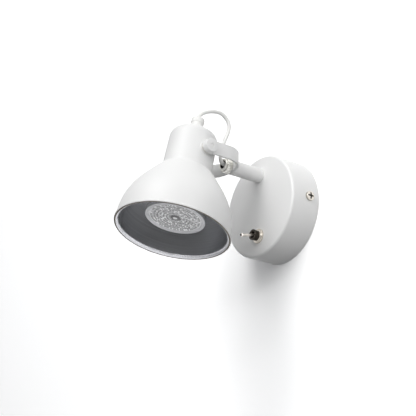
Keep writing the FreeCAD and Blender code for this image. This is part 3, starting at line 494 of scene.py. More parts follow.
def hung(points):
    """Points made upright round the head's own axis, moved to where the head hangs."""
    c, s = math.cos(-HEAD_TILT), math.sin(-HEAD_TILT)
    turn = np.array(((1, 0, 0), (0, c, -s), (0, s, c)))
    return (points - (0, HEAD_OFFSET, HEAD_RISE)) @ turn.T + PIVOT


# A shell is (points, wrap rows, wrap columns, finish number): a grid of points, and whether its
# last row and column join its first ones. The finish number may be one for each quad.

def solid(points, finish_number=0):
    """The shell of a lathed grid whose columns begin and end on its axis."""
    return points, True, False, finish_number


def ring(points, finish_number=0):
    """The shell of a lathed grid whose section is a closed outline."""
    return points, True, True, finish_number


def rod(radius, length, origin, out):
    """The shell of a closed round bar."""
    section = [(0, 0), (radius, 0), (radius, length), (0, length)]
    return solid(stand(lathe(section, 48), origin, out))


def cross_cutter(origin, out, span, depth):
    """A plus-shaped bar that narrows as it sinks into a screw's head, by a fifth at its floor."""
    a, b = span / 2, 0.12 * span
    plus = np.array(((a, -b), (a, b), (b, b), (b, a), (-b, a), (-b, b), (-a, b), (-a, -b),
                     (-b, -b), (-b, -a), (b, -a), (b, -b)))
    rows = [(0.0, -depth), (0.8, -depth), (1.0, 0.0), (1.0, depth), (0.0, depth)]
    points = np.array([np.column_stack((plus * scale, np.full(len(plus), height)))
                       for scale, height in rows])
    return stand(points, origin, out), False, True, 0


def pan_screw(radius, height, edge, crown, shank, length):
    """A screw's section: the shank, and a pan head whose rounded edge runs into a low crown."""
    shoulder = height - crown
    flat = radius - edge
    side = rounded([(0, -length, 0), (shank, -length, 0.4), (shank, 0, 0), (radius, 0, 0.15),
                    (radius, shoulder, edge), (flat, shoulder, 0)], 7)[:-1]
    top = arc3((flat, shoulder), (flat * 0.5, height - 0.25 * crown), (0, height), 10)
    return np.concatenate((side, top[1:]))


# ---- meshes ----

def grid_faces(rows, columns, wrap_rows, wrap_columns, start=0):
    """The quads of a grid: cell (i, j) joins (i, j), (i+1, j), (i+1, j+1) and (i, j+1)."""
    i = np.arange(rows if wrap_rows else rows - 1)[:, None]
    j = np.arange(columns if wrap_columns else columns - 1)[None]
    i2, j2 = (i + 1) % rows, (j + 1) % columns
    corners = i * columns + j, i2 * columns + j, i2 * columns + j2, i * columns + j2
    return np.stack(np.broadcast_arrays(*corners), -1).reshape(-1, 4) + start


def grid_object(name, shells, uv=None):
    """An object in metres from shells of millimetre points, with its seams and poles closed."""
    vertices, faces, marks, start = [], [], [], 0
    for points, wrap_rows, wrap_columns, mark in shells:
        rows, columns = points.shape[:2]
        faces.append(grid_faces(rows, columns, wrap_rows, wrap_columns, start))
        vertices.append(points.reshape(-1, 3) * MM)
        marks.append(np.broadcast_to(mark, len(faces[-1])))
        start += rows * columns
    mesh = bpy.data.meshes.new(name)
    quads = np.concatenate(faces)
    mesh.from_pydata(np.concatenate(vertices).tolist(), [], quads.tolist())
    mesh.polygons.foreach_set("material_index", np.concatenate(marks).astype(np.int32))
    if uv is not None:
        layer = mesh.uv_layers.new(name=uv[0])
        layer.data.foreach_set("uv", uv[1](quads).astype(np.float32).ravel())
    mend(mesh)
    made = bpy.data.objects.new(name, mesh)
    bpy.context.scene.collection.objects.link(made)
    return made


def make_piece(name, node, shells, body, slot, *finishes, uv=None, sharp=38.0):
    """A piece that stands for a CAD node: it rides on a body, unless that is None."""
    piece = grid_object(name, shells, uv)
    for look in finishes:
        piece.data.materials.append(finish(look))
    smooth(piece.data, sharp)
    if body is not None:
        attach(piece, body)
    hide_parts(node)
    return piece


def mend(mesh, fill=False):
    """Joins doubled points at seams and poles, or fills open ends, and turns faces outwards."""
    shape = bmesh.new()
    shape.from_mesh(mesh)
    if fill:
        bmesh.ops.holes_fill(shape, edges=shape.edges, sides=0)
    else:
        bmesh.ops.remove_doubles(shape, verts=shape.verts, dist=1e-7)
        bmesh.ops.dissolve_degenerate(shape, edges=shape.edges, dist=1e-8)
    bmesh.ops.recalc_face_normals(shape, faces=shape.faces)
    shape.to_mesh(mesh)
    shape.free()


def smooth(mesh, angle):
    """Smooth shading with sharp edges above an angle."""
    mesh.shade_smooth()
    mesh.set_sharp_from_angle(angle=math.radians(angle))


def carve(piece, shells, operation="DIFFERENCE", sharp=38.0):
    """Cuts closed shells out of a piece, or joins them to it, and keeps the result as its mesh."""
    tool = grid_object("cutter", shells)
    change = piece.modifiers.new("carve", "BOOLEAN")
    change.operation = operation
    change.solver = "EXACT"
    change.object = tool
    graph = bpy.context.evaluated_depsgraph_get()
    made = bpy.data.meshes.new_from_object(piece.evaluated_get(graph), depsgraph=graph)
    piece.modifiers.clear()
    old = piece.data
    piece.data = made
    made.name = piece.name
    bpy.data.meshes.remove(old)
    bpy.data.objects.remove(tool)
    smooth(made, sharp)


# ---- wall rose ----

def build_rose():
    """The cover: a lathed cup with a rolled front edge, drilled for arm, switch and screws."""
    edge = sizes().rose_edge / MM
    inner, inside = ROSE_RADIUS - ROSE_WALL, ROSE_FRONT - ROSE_WALL
    section = rounded([(0, ROSE_FRONT, 0), (ROSE_RADIUS, ROSE_FRONT, edge), (ROSE_RADIUS, 0, 0.3),
                       (inner, 0, 0.3), (inner, inside, edge - 1.2), (0, inside, 0)], 9)
    cup = solid(stand(lathe(section, 192), (0, 0, 0), ROOM))
    # The rose takes the lighter copy of the coat: painted light.
    rose = make_piece("rose_skin", "rose_cover", [cup], "wall", "white_paint", "rose_coat_painted_light",
                      sharp=50)
    behind = 3 - ROSE_FRONT
    screw_hole, half_span = 2.15, 48
    carve(rose, [
        rod(ARM_BORE, 6, (0, behind, ARM_AXIS[2]), ROOM),
        rod(SWITCH_RADIUS + 0.15, 6, (0, behind, SWITCH_AXIS[2]), ROOM),
        rod(screw_hole, 2 * half_span, (-half_span, SIDE_SCREW_Y, 0), (1, 0, 0)),
    ], sharp=50)


def build_side_screws():
    """Two plated pan-head screws with a crowned head and a cross recess, whose faces are painted near-black
    as painted shade.
    """
    height = 2.5
    section = pan_screw(4.1, height, edge=1.1, crown=0.45, shank=2.0, length=7.4)
    shells, cuts = [], []
    for side in (-1, 1):
        out = (side, 0, 0)
        shells.append(solid(stand(lathe(section, 64), (side * ROSE_RADIUS, SIDE_SCREW_Y, 0), out)))
        top = (side * (ROSE_RADIUS + height), SIDE_SCREW_Y, 0)
        cuts.append(cross_cutter(top, out, span=6.0, depth=1.8))
    screws = make_piece("side_screw_pair", "side_screws", shells, "wall", "nickel",
                        "screw_steel", "recess")
    carve(screws, cuts)
    mark_recess(screws.data, crown=47.05, floor=45.3, reach=3.1)


def mark_recess(mesh, crown, floor, reach):
    """The painted-shade finish for a recess: faces below the crown, above the floor, near the axis."""
    centres = np.empty(len(mesh.polygons) * 3)
    mesh.polygons.foreach_get("center", centres)
    x, y, z = centres.reshape(-1, 3).T / MM
    inside = (np.abs(x) < crown) & (np.abs(x) > floor) & (np.hypot(y - SIDE_SCREW_Y, z) < reach)
    mesh.polygons.foreach_set("material_index", inside.astype(np.int32))


# ---- arm ----

def build_arm():
    """The arm, its washers, the fluted ring nut, the threaded nipple and the flanged bush."""
    tube = rounded([(ARM_BORE, ROSE_FRONT, 0), (ARM_RADIUS, ROSE_FRONT, 0.25),
                    (ARM_RADIUS, ARM_END, 0.3), (ARM_BORE, ARM_END, 0)], 4)
    washer = tube_profile(ARM_RADIUS, ARM_BORE, ARM_END, ARM_END + 1.0, 0.2)
    flat = tube_profile(ARM_RADIUS + 0.1, ARM_BORE, NUT_BACK - 0.8, NUT_BACK, 0.15)
    nut = fluted_ring(ARM_RADIUS - 0.2, NIPPLE_RADIUS, NUT_BACK, NUT_FRONT, flutes=16, depth=0.3)
    nipple = threaded_tube(NIPPLE_RADIUS, NIPPLE_BORE, 18.2, NIPPLE_MOUTH, thread_from=59.6)
    hole, flange, front = 3.5, 5.2, NIPPLE_MOUTH + 0.8
    bush = rounded([(hole, NIPPLE_MOUTH - 6, 0.2), (NIPPLE_BORE, NIPPLE_MOUTH - 6, 0),
                    (NIPPLE_BORE, NIPPLE_MOUTH, 0), (flange, NIPPLE_MOUTH, 0.2),
                    (flange, front, 0.35), (hole, front, 0.35)], 5)
    # Faces in the bore take black plastic, the outside pale nickel: painted shade that darkens the bore.
    bore_painted_shade = (np.roll(bush, -1, 0)[:, 0] + bush[:, 0] < 2 * hole + 0.3).astype(int)
    bore_painted_shade = np.tile(bore_painted_shade, 72)
    for name, node, points, mark, slot, *looks in (
        ("arm_skin", "arm_tube", lathe(tube, 96), 0, "white_paint", "coat"),
        ("arm_washer_ring", "arm_washer", lathe(washer, 72), 0, "white_plastic", "white_plastic"),
        ("web_washer_ring", "web_washer", lathe(flat, 72), 0, "nickel", "pale_nickel"),
        ("ring_nut_fluted", "ring_nut", nut, 0, "nickel", "pale_nickel"),
        ("nipple_threaded", "nipple", nipple, 0, "nickel", "pale_nickel"),
        ("nipple_bush_ring", "nipple_bush", lathe(bush, 72), bore_painted_shade, "black_plastic",
         "pale_nickel", "black_plastic"),
    ):
        make_piece(name, node, [ring(stand(points, ARM_AXIS, ROOM), mark)], "wall", slot, *looks)


def fluted_ring(outer, inner, low, high, flutes, depth):
    """A ring with narrow scallops: the radius dips by depth times a high power of a cosine."""
    points = lathe(tube_profile(outer, inner, low, high, 0.35), flutes * 12)
    a, r, _ = polar(points)
    dip = depth * (0.5 + 0.5 * np.cos(flutes * a)) ** 4
    share = np.clip((r - inner) / (outer - inner), 0, 1)
    return widened(points, (r - dip * share) / r)


def threaded_tube(outer, inner, low, high, thread_from):
    """A tube with a fine thread: the radius follows a triangle wave of height less turn."""
    pitch, depth = 1.0, 0.14
    count = int((high - thread_from) / pitch * 6)
    heights = np.concatenate(([low], np.linspace(thread_from, high - 0.2, count), [high]))
    profile = np.concatenate((
        np.column_stack((np.full(len(heights), outer), heights)),
        [(outer - 0.3, high), (inner + 0.2, high), (inner, high - 0.2), (inner, low)]))
    points = lathe(profile, 48)
    a, r, h = polar(points)
    wave = np.abs(((h / pitch - a / TURN) % 1.0) * 2 - 1)
    threaded = (r > outer - 0.05) & (h >= thread_from) & (h < high - 0.1)
    return widened(points, (r - np.where(threaded, depth * wave, 0.0)) / r)


# ---- switch ----

def build_switch():
    """The toggle: base ring with its collar, tall nut, flared bushing and lever."""
    thin, wide, narrow = SWITCH_RADIUS, 6.3, 5.5
    base = rounded([(thin, ROSE_FRONT, 0), (wide, ROSE_FRONT, 0.2), (wide, ROSE_FRONT + 1.7, 0.5),
                    (narrow, ROSE_FRONT + 2.0, 0.2), (narrow, SWITCH_COLLAR, 0.4),
                    (thin, SWITCH_COLLAR, 0)], 5)
    nut = hex_to_round(4.7, thin, SWITCH_COLLAR, SWITCH_MOUTH)
    back, hole, flare_end, floor = 25.2, 2.05, SWITCH_MOUTH - 2.4, SWITCH_MOUTH - 6.7
    bush = rounded([(0, back, 0), (thin, back, 0.2), (thin, SWITCH_MOUTH, 0.25),
                    (3.0, SWITCH_MOUTH, 0.2), (hole, flare_end, 0.3), (hole, floor, 0.2),
                    (0, floor, 0)], 5)
    for name, node, shell, points, look in (
        ("switch_base_ring", "switch_base_nut", ring, lathe(base, 96), "nickel"),
        # The tall nut and the bushing take the near-black painted reflection.
        ("switch_tall_nut", "switch_dress_nut", ring, nut, "nickel_painted_dark"),
        ("switch_bushing_skin", "switch_bushing", solid, lathe(bush, 72), "nickel_painted_dark"),
    ):
        make_piece(name, node, [shell(stand(points, SWITCH_AXIS, ROOM))], "wall", "nickel", look)
    build_lever()


def hex_to_round(outer, inner, low, high):
    """A tall nut with six shallow flats behind a round collar: the lesser of two radii."""
    edge, sixth = 1.4, math.pi / 3
    profile = rounded([(inner, low, 0), (outer, low, 0.3), (outer, high, edge),
                       (inner, high, 0.1)], 9)
    points = lathe(profile, 144)
    a, r, h = polar(points)
    flat = outer * 0.93 / np.cos((a + sixth / 2) % sixth - sixth / 2)
    limited = np.where((h < high - edge) & (r > inner + 0.1), np.minimum(r, flat), r)
    return widened(points, limited / r)


def build_lever():
    """The lever: ball, slim waist and a bat with a rounded, dark tip, tilted to its lower throw."""
    reach, ball_radius, tip_radius, dark, turns = 16.4, 1.95, 1.5, 0.75, 64
    t = np.linspace(-math.pi / 2, math.pi / 2 * 0.62, 16)
    ball = ball_radius * np.column_stack((np.cos(t), np.sin(t)))
    neck = np.array(((1.05, 2.2), (1.12, 4.0), (1.2, 8.0), (1.42, reach - 2.4)))
    t = np.linspace(0.1, math.pi / 2, 12)
    tip = tip_radius * np.column_stack((np.cos(t), np.sin(t))) + (0, reach - tip_radius)
    profile = np.concatenate((ball, neck, tip))
    profile[0, 0] = profile[-1, 0] = 0.0
    marks = np.tile((profile[:-1, 1] > reach - dark).astype(int), turns)
    down = math.radians(11.0)
    points = stand(lathe(profile, turns), (0, 3.6 - SWITCH_MOUTH, SWITCH_AXIS[2]),
                   (0, -math.cos(down), -math.sin(down)))
    make_piece("toggle_lever", "switch_lever", [solid(points, marks)], "lever", "nickel",
               "cream_nickel", "nickel_painted_dark", sharp=60)


# ---- yoke ----

def yoke_line():
    """The middle line of the strip seen from above: a leg, a quarter bend, the web and back."""
    corner, radius, pivot = 80.7, 20.0, -PIVOT[1]
    ear_turn = np.linspace(0, math.pi / 2, 24)
    leg = np.concatenate((pivot + YOKE_EAR * np.cos(ear_turn),
                          np.linspace(pivot - 0.5, corner, 12)[1:]))
    t = np.linspace(0, math.pi / 2, 30)[1:]
    right = np.concatenate((
        np.column_stack((np.full(len(leg), YOKE_HALF_SPAN), -leg)),
        np.column_stack((YOKE_HALF_SPAN - radius + radius * np.cos(t),
                         radius * np.sin(t) - corner))))
    return np.concatenate((right, right[::-1] * (-1, 1)))


def build_yoke():
    """The strip carried along its U: its height follows a circle at the ears."""
    line = yoke_line()
    tangent = np.gradient(line, axis=0)
    tangent /= np.linalg.norm(tangent, axis=1)[:, None]
    side = np.column_stack((-tangent[:, 1], tangent[:, 0]))
    beyond = np.clip(PIVOT[1] - line[:, 1], 0, YOKE_EAR)
    tall = np.sqrt(np.maximum(YOKE_EAR ** 2 - beyond ** 2, 1e-6))[:, None]
    edge, unit_edge = sizes().sheet_edge / MM, 0.3
    unit = rounded([(-1, -1, unit_edge), (1, -1, unit_edge), (1, 1, unit_edge),
                    (-1, 1, unit_edge)], 5)
    corner = np.sign(unit)
    inset = (unit - corner) / unit_edge
    across = corner[None, :, 0] * YOKE_THICK / 2 + inset[None, :, 0] * edge
    up = corner[None, :, 1] * tall + inset[None, :, 1] * np.minimum(edge, 0.5 * tall)
    points = np.empty((len(line), len(unit), 3))
    points[..., :2] = line[:, None] + side[:, None] * across[..., None]
    points[..., 2] = ARM_AXIS[2] + up
    yoke = make_piece("yoke_strip", "yoke_bracket", [(points, False, True, 0)], "yoke",
                      "white_paint", "coat", sharp=45)
    mend(yoke.data, fill=True)
    carve(yoke, [rod(2.5, 60, (-30, PIVOT[1], PIVOT[2]), (1, 0, 0)),
                 rod(5.06, 6, (0, -58, ARM_AXIS[2]), ROOM)], sharp=45)


def build_pivots():
    """The coated pan-head pivot screws with a shallow cross, and the spacers behind the ears."""
    height = 3.5
    seat = YOKE_HALF_SPAN + YOKE_THICK / 2
    section = pan_screw(5.9, height, edge=1.3, crown=0.4, shank=2.5, length=10.6)
    spacer = tube_profile(5.0, PIVOT_BORE, 0.0, 2.1, 0.25)
    shells, cuts, rings = [], [], []
    for side in (-1, 1):
        out = (side, 0, 0)
        shells.append(solid(stand(lathe(section, 96), PIVOT + (side * seat, 0, 0), out)))
        top = PIVOT + (side * (seat + height), 0, 0)
        cuts.append(cross_cutter(top, out, span=4.4, depth=0.5))
        start = (side * 20.9, HEAD_OFFSET, HEAD_RISE)
        rings.append(ring(hung(stand(lathe(spacer, 72), start, out))))
    screws = make_piece("pivot_screw_pair", "pivot_screws", shells, "yoke", "white_paint", "coat")
    carve(screws, cuts)
    make_piece("pivot_spacer_rings", "pivot_spacers", rings, "head", "nickel", "pale_nickel")


# ---- shade ----

def shade_outline():
    """The shade's section from the top's middle out to the lip and back, with its finishes.

    Outside: a flat top, a round edge, a short cylinder, a small neck, a bell of two arcs and a lip
    that rolls out. The lip's underside, where it faces down, is painted near-black as painted shade,
    and a hem slopes up from it to the lining.
    """
    coat, lining, silver, lip_shade = range(4)
    flat, outer, inner, top, edge = 12.5, 20.5, 19.3, HEAD_TOP, 8.0
    low, wall, slope = top - edge, 1.2, math.sqrt(0.5)
    bell = arc3((44.85, -71.5), (43.55, -54.4), (35.4, -36.1), 44)
    stretches = (
        (coat, [(0, top)]),
        (coat, arc3((flat, top), (flat + edge * slope, low + edge * slope), (outer, low), 16)),
        (coat, np.linspace((outer, 10.0), (20.66, -14.6), 5)),
        (coat, arc3((20.66, -15.2), (20.95, -16.2), (21.7, -17.0), 5)),
        (coat, arc3((20.7, -15.8), (29.0, -25.2), (36.4, -35.4), 26)[3:]),
        (coat, arc3((36.4, -35.4), (45.5, -54.0), (47.7, -73.8), 36)[1:-3]),
        (coat, [(47.6, -71.75)]),
        (coat, arc3((47.75, -71.6), (48.7, -72.7), (48.3, -73.5), 8)),
        # Painted shade on the lip's underside.
        (lip_shade, arc3((48.25, -73.58), (47.7, -73.8), (47.0, -73.7), 5)),
        (silver, arc3((46.9, -73.66), (45.75, -72.95), bell[0], 10)[:-1]),
        (lining, bell),
        (lining, arc3((35.4, -36.1), (28.1, -26.0), (19.5, -16.2), 26)[1:]),
        (lining, [(inner, -14.6), (inner, low)]),
        (lining, arc3((inner, low + 0.2),
                      (flat + (edge - wall) * slope, low + (edge - wall) * slope),
                      (flat, top - wall), 12)[1:]),
        (lining, [(0, top - wall)]),
    )
    profile = np.concatenate([np.asarray(points, float) for _, points in stretches])
    return profile, np.concatenate([np.full(len(points), mark) for mark, points in stretches])


def seam_rows(rows, turns):
    """Row numbers of each quad, where the last quad ends on the row past the last one."""
    last = rows.max(axis=1, keepdims=True) == turns - 1
    return np.where((rows == 0) & last, turns, rows)


def build_shade():
    """The shade: its section turned about the head's axis, with bosses joined and holes cut."""
    profile, marks = shade_outline()
    turns, columns, sharp = 224, len(profile), 32
    steps = np.linalg.norm(np.diff(profile, axis=0), axis=1)
    length = np.concatenate(([0], np.cumsum(steps))) / steps.sum()

    def uv(quads):
        i, j = quads // columns, quads % columns
        return np.stack((seam_rows(i, turns) / turns, length[j]), -1)

    shell = solid(hung(lathe(profile, turns)), np.tile(marks[:-1], turns))
    shade = make_piece("bell_shade", "shade", [shell], "head", "white_paint",
                       "coat", "lining", "rim_silver", "lip_painted_shade", uv=("profile", uv),
                       sharp=sharp)
    foot = arc3((9.4, 0.0), (7.4, 0.75), (6.3, 2.0), 9)
    boss = np.concatenate(([(0, -0.6), (9.4, -0.6)], foot,
                           [(6.3, 2.25), (6.2, 2.45), (5.95, 2.55), (0, 2.55)]))
    bosses, holes = [], []
    for side in (-1, 1):
        out = (side, 0, 0)
        start = (side * 18.35, HEAD_OFFSET, HEAD_RISE)
        bosses.append(solid(hung(stand(lathe(boss, 72), start, out))))
        holes.append(rod(PIVOT_BORE, 6, (side * 17.0, HEAD_OFFSET, HEAD_RISE), out))
    holes.append(rod(STEM_RADIUS, 5, (0, 0, 18.5), (0, 0, 1)))
    carve(shade, bosses, "UNION", sharp=sharp)
    carve(shade, [(hung(points), *rest) for points, *rest in holes], sharp=sharp)


def build_gland():
    """The cord gland: stem, flanged foot and barrel, and a screw cap with soft ribs."""
    barrel, foot = 5.3, HEAD_TOP + 2.0
    body = rounded([(CORD_RADIUS, 15.2, 0), (STEM_RADIUS, 15.2, 0.3), (STEM_RADIUS, HEAD_TOP, 0),
                    (7.0, HEAD_TOP, 0.2), (7.0, foot, 0.6), (barrel, foot, 0.2),
                    (barrel, GLAND_JOINT, 0.1), (CORD_RADIUS, GLAND_JOINT, 0)], 5)
    cap = ribbed_cap(5.6, CORD_RADIUS, GLAND_JOINT, GLAND_TOP, ribs=24, depth=0.16)
    for name, node, points in (("gland_barrel", "gland_body", lathe(body, 96)),
                               ("gland_grip_cap", "gland_cap", cap)):
        make_piece(name, node, [ring(hung(points))], "head", "white_plastic", "white_plastic")


def ribbed_cap(outer, inner, low, high, ribs, depth):
    """A cap whose radius falls by depth times half of one minus the cosine of the ribs."""
    profile = rounded([(inner, low, 0), (outer, low, 0.25), (outer, high, 1.6),
                       (inner, high, 0.4)], 10)
    points = lathe(profile, ribs * 8)
    a, r, h = polar(points)
    fade = np.clip((high - 1.2 - h) / 0.8, 0, 1) * np.clip((h - low - 0.2) / 0.5, 0, 1)
    dip = depth * fade * (r > outer - 0.6) * (0.5 - 0.5 * np.cos(ribs * a))
    return widened(points, (r - dip) / r)


# ---- lamp ----

def build_lamp():
    """The lamp: finned body, stepped front ring and a lens of pressed facets."""
    top = LAMP_FACE + LAMP_LENGTH
    waist = top - 9.0
    skirt, base = 24.2, 13.5
    flare = arc3((16.5, waist - 2.0), (18.75, -29.6), (skirt, LAMP_RING_BACK + 4.0), 18)
    section = np.concatenate((
        [(0, LAMP_RING_BACK), (skirt, LAMP_RING_BACK)], flare[::-1],
        [(base, waist), (base, top - 0.5), (base - 0.5, top), (0, top)]))
    body = finned(section, fins=18, depth=1.0, low=LAMP_RING_BACK + 6.5, high=waist - 3.5)
    make_piece("lamp_finned_body", "lamp_body", [solid(hung(body))], "head", "lamp_metal",
               "lamp", sharp=30)
    face, groove, outer = LAMP_FACE, LAMP_FACE + 0.35, 25.0
    front = rounded([(LENS_RADIUS, LAMP_RING_BACK, 0), (outer, LAMP_RING_BACK, 0.3),
                     (outer, face, 0.7), (24.1, face, 0.2), (23.9, groove, 0.1),
                     (22.9, groove, 0.1), (22.7, face, 0.2), (22.3, face, 0.2),
                     (LENS_RADIUS, face + 0.9, 0.1)], 5)
    make_piece("lamp_front_ring", "lamp_ring", [ring(hung(lathe(front, 160)))], "head",
               "lamp_metal", "lamp_rim")
    build_lens()


def finned(section, fins, depth, low, high):
    """A turned body with grooves between fins: the radius dips where a cosine is high."""
    points = lathe(section, fins * 12)
    a, r, h = polar(points)
    fade = np.clip((h - low) / 2.0, 0, 1) * np.clip((high - h) / 1.0, 0, 1)
    dip = depth * fade / (1 + np.exp(-12 * (np.cos(fins * a) - 0.2)))
    return widened(points, np.where(r > 1e-6, (r - dip) / np.maximum(r, 1e-6), 1.0))


def build_lens():
    """The lens face: rings of pillow-shaped facets between a raised eye and a plain outer band.

    A facet's point stands out by the relief times two half sines, one across its ring and one
    across the facet. The eye is a low dome with a round pit. The rim and a flat back close the
    disc. The map gives each facet two whole numbers: its place round the ring, and its ring.
    """
    band, eye, pit = 21.0, 4.0, 1.9
    sunk, dome_height, pit_depth, turns = 0.9, 0.55, 0.5, 400
    rings = sizes().lens_rings
    relief = sizes().lens_relief / MM
    r = np.concatenate((np.linspace(0.0, eye, 14)[1:],
                        eye + (band - eye) * np.linspace(0, 1, rings * 8 + 1)[1:],
                        np.linspace(band, LENS_RADIUS, 5)[1:]))
    a = turn_angles(turns)
    place = np.clip((r - eye) / (band - eye) * rings, 0, rings - 1e-6)
    number = np.floor(place)
    facets = np.round(14 + 8 * number)
    stagger = 0.37
    faceted = (r > eye) & (r < band)
    turn = (a / TURN * facets + stagger * number) % 1.0
    pillow = np.sin(math.pi * (place - number)) * (0.35 + 0.65 * np.sin(math.pi * turn))
    height = np.where(faceted, relief * pillow, np.where(r >= band, 0.3, 0.0))
    quarter = np.clip(r / eye, 0, 1) * math.pi / 2
    height = height + np.where(r <= eye, dome_height * np.cos(quarter) ** 0.7, 0.0)
    height = height - np.where(r < pit, pit_depth * (1 - (r / pit) ** 2), 0.0)
    front = np.stack((r * np.cos(a), r * np.sin(a), LAMP_FACE + sunk - height), -1)
    back = LAMP_RING_BACK
    rim = np.stack((LENS_RADIUS * np.cos(a), LENS_RADIUS * np.sin(a), np.full_like(a, back)), -1)
    middle_back = np.broadcast_to((0.0, 0.0, back), (turns, 1, 3))
    middle_front = np.broadcast_to((0.0, 0.0, LAMP_FACE + sunk - 0.05), (turns, 1, 3))
    points = np.concatenate((middle_front, front, rim, middle_back), 1)
    columns = points.shape[1]
    own_ring = np.where(faceted, number + 2, np.where(r <= eye, r > pit, LENS_BAND))
    own_ring = np.concatenate(([0], own_ring, [LENS_BAND, LENS_BAND])).astype(float)
    count = np.concatenate(([1.0], np.where(faceted, facets, 1.0), [1.0, 1.0]))

    def uv(quads):
        i, j = quads // columns, quads % columns
        i = seam_rows(i, turns)
        far = np.broadcast_to(j.max(axis=1, keepdims=True), j.shape)
        own = own_ring[far]
        middle = i.mean(axis=1, keepdims=True) / turns
        facet = np.floor(middle * count[far] + stagger * (own - 2)) + 0.5
        return np.stack((facet, own + 0.5), -1)

    make_piece("lens_facets", "lamp_lens", [solid(hung(points))], "head", "lens_clear", "lens",
               uv=("facets", uv), sharp=28)


# ---- cord ----

CORD_POINTS = [
    (0.1, 12.0, 43.0), (0.2, 18.3, 45.7), (0.4, 25.5, 47.1), (0.6, 30.4, 46.2),
    (0.8, 34.4, 43.3), (1.0, 36.9, 39.0), (1.1, 37.3, 34.0), (1.0, 34.9, 27.4),
    (0.8, 32.0, 20.4), (0.5, 30.2, 13.6), (0.2, 29.3, 7.6), (0.0, 29.3, 2.9),
]


def cord_route():
    """The cord's control points: out of the gland, over, down and into the nipple's bush."""
    up = hung(np.array(((0.0, 0.0, GLAND_TOP), (0.0, 0.0, 39.8))))
    height = ARM_AXIS[2]
    end = np.array(((0, -NIPPLE_MOUTH + 0.4, height), (0, -NIPPLE_MOUTH + 4.3, height)))
    return np.concatenate((up, np.array(CORD_POINTS) + PIVOT, end)) * MM


def spline_points(route):
    """Points read from the NURBS spline that has the route as its control points."""
    curve = bpy.data.curves.new("cord_line", "CURVE")
    curve.dimensions = "3D"
    curve.resolution_u = 24
    spline = curve.splines.new("NURBS")
    spline.points.add(len(route) - 1)
    places = np.column_stack((route, np.ones(len(route)))).astype(np.float32)
    spline.points.foreach_set("co", places.ravel())
    spline.order_u = 3
    spline.use_endpoint_u = True
    holder = bpy.data.objects.new("cord_line", curve)
    bpy.context.scene.collection.objects.link(holder)
    bpy.context.view_layer.update()
    mesh = bpy.data.meshes.new_from_object(holder)
    line = np.array([v.co for v in mesh.vertices], float)
    bpy.data.meshes.remove(mesh)
    bpy.data.objects.remove(holder)
    bpy.data.curves.remove(curve)
    return line


def lengths_along(line):
    """The length of the line up to each of its points."""
    return np.concatenate(([0], np.cumsum(np.linalg.norm(np.diff(line, axis=0), axis=1))))


def build_cord():
    """The free cord: a circle carried along its spline without twist, capped at both ends.

    It bends between yoke and head.
    """
    line = spline_points(cord_route())
    radius, turns = sizes().cord_diameter / 2, 24
    tangent = np.gradient(line, axis=0)
    tangent /= np.linalg.norm(tangent, axis=1)[:, None]
    first = np.cross(tangent, (1.0, 0.0, 0.0))
    first /= np.linalg.norm(first, axis=1)[:, None]
    second = np.cross(tangent, first)
    a = turn_angles(turns)
    skin = line[:, None] + radius * (np.cos(a) * first[:, None] + np.sin(a) * second[:, None])
    start, end = (np.broadcast_to(p, (1, turns, 3)) for p in (line[0], line[-1]))
    points = np.concatenate((start, skin, end)) / MM
    along = lengths_along(line)
    length = float(along[-1])
    along = np.concatenate(([0], along, [length]))

    def uv(quads):
        i, j = quads // turns, quads % turns
        return np.stack((seam_rows(j, turns) / turns, along[i]), -1)

    cord = make_piece("white_cord", "cord", [(points, False, True, 0)], None, "cord_white", "cord",
                      uv=("length", uv), sharp=60)
    exit_point = tuple(line[0])
    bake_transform(cord, "yoke", "head", start=(0, -0.066, 0.036), end=exit_point)
    even_rings(cord.data, line)


def even_rings(mesh, line):
    """Gives each ring of the cord one blend weight, which falls smoothly from gland to nipple."""
    co = np.array([v.co for v in mesh.vertices], float)
    nearest = np.linalg.norm(co[:, None] - line[None], axis=2).argmin(axis=1)
    along = lengths_along(line)
    t = 1 - along / along[-1]
    weight = t * t * (3 - 2 * t)
    mesh.attributes["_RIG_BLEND"].data.foreach_set("value", weight[nearest].astype(np.float32))


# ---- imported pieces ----

NODES_BY_FINISH = {
    "zinc": ("wall_bracket", "terminal_screws", "rear_washer", "rear_nut", "switch_back_nut",
             "pivot_nuts", "gland_nut", "holder_strap", "holder_screws"),
    "brass": ("earth_screw", "lamp_pins"),
    "white_plastic": ("terminal_block", "inner_cord", "head_cord", "arm_washer", "gland_body",
                      "gland_cap", "cord"),
    "grey_plastic": ("switch_body",),
    "ceramic": ("lampholder",),
    "rose_coat_painted_light": ("rose_cover",),
    "nickel": ("side_screws", "nipple", "web_washer", "ring_nut", "switch_base_nut",
               "switch_lever", "pivot_spacers"),
    "coat": ("arm_tube", "yoke_bracket", "pivot_screws", "shade"),
    "black_plastic": ("nipple_bush",),
    "nickel_painted_dark": ("switch_bushing", "switch_dress_nut"),
    "lamp": ("lamp_body", "lamp_ring", "lamp_lens"),
}


def paint_nodes():
    """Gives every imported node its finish, those that a piece made here stands for among them."""
    for look, nodes in NODES_BY_FINISH.items():
        for node in nodes:
            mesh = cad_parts[node].data
            mesh.materials.clear()
            mesh.materials.append(finish(look))


# ---- stage, in metres and degrees ----

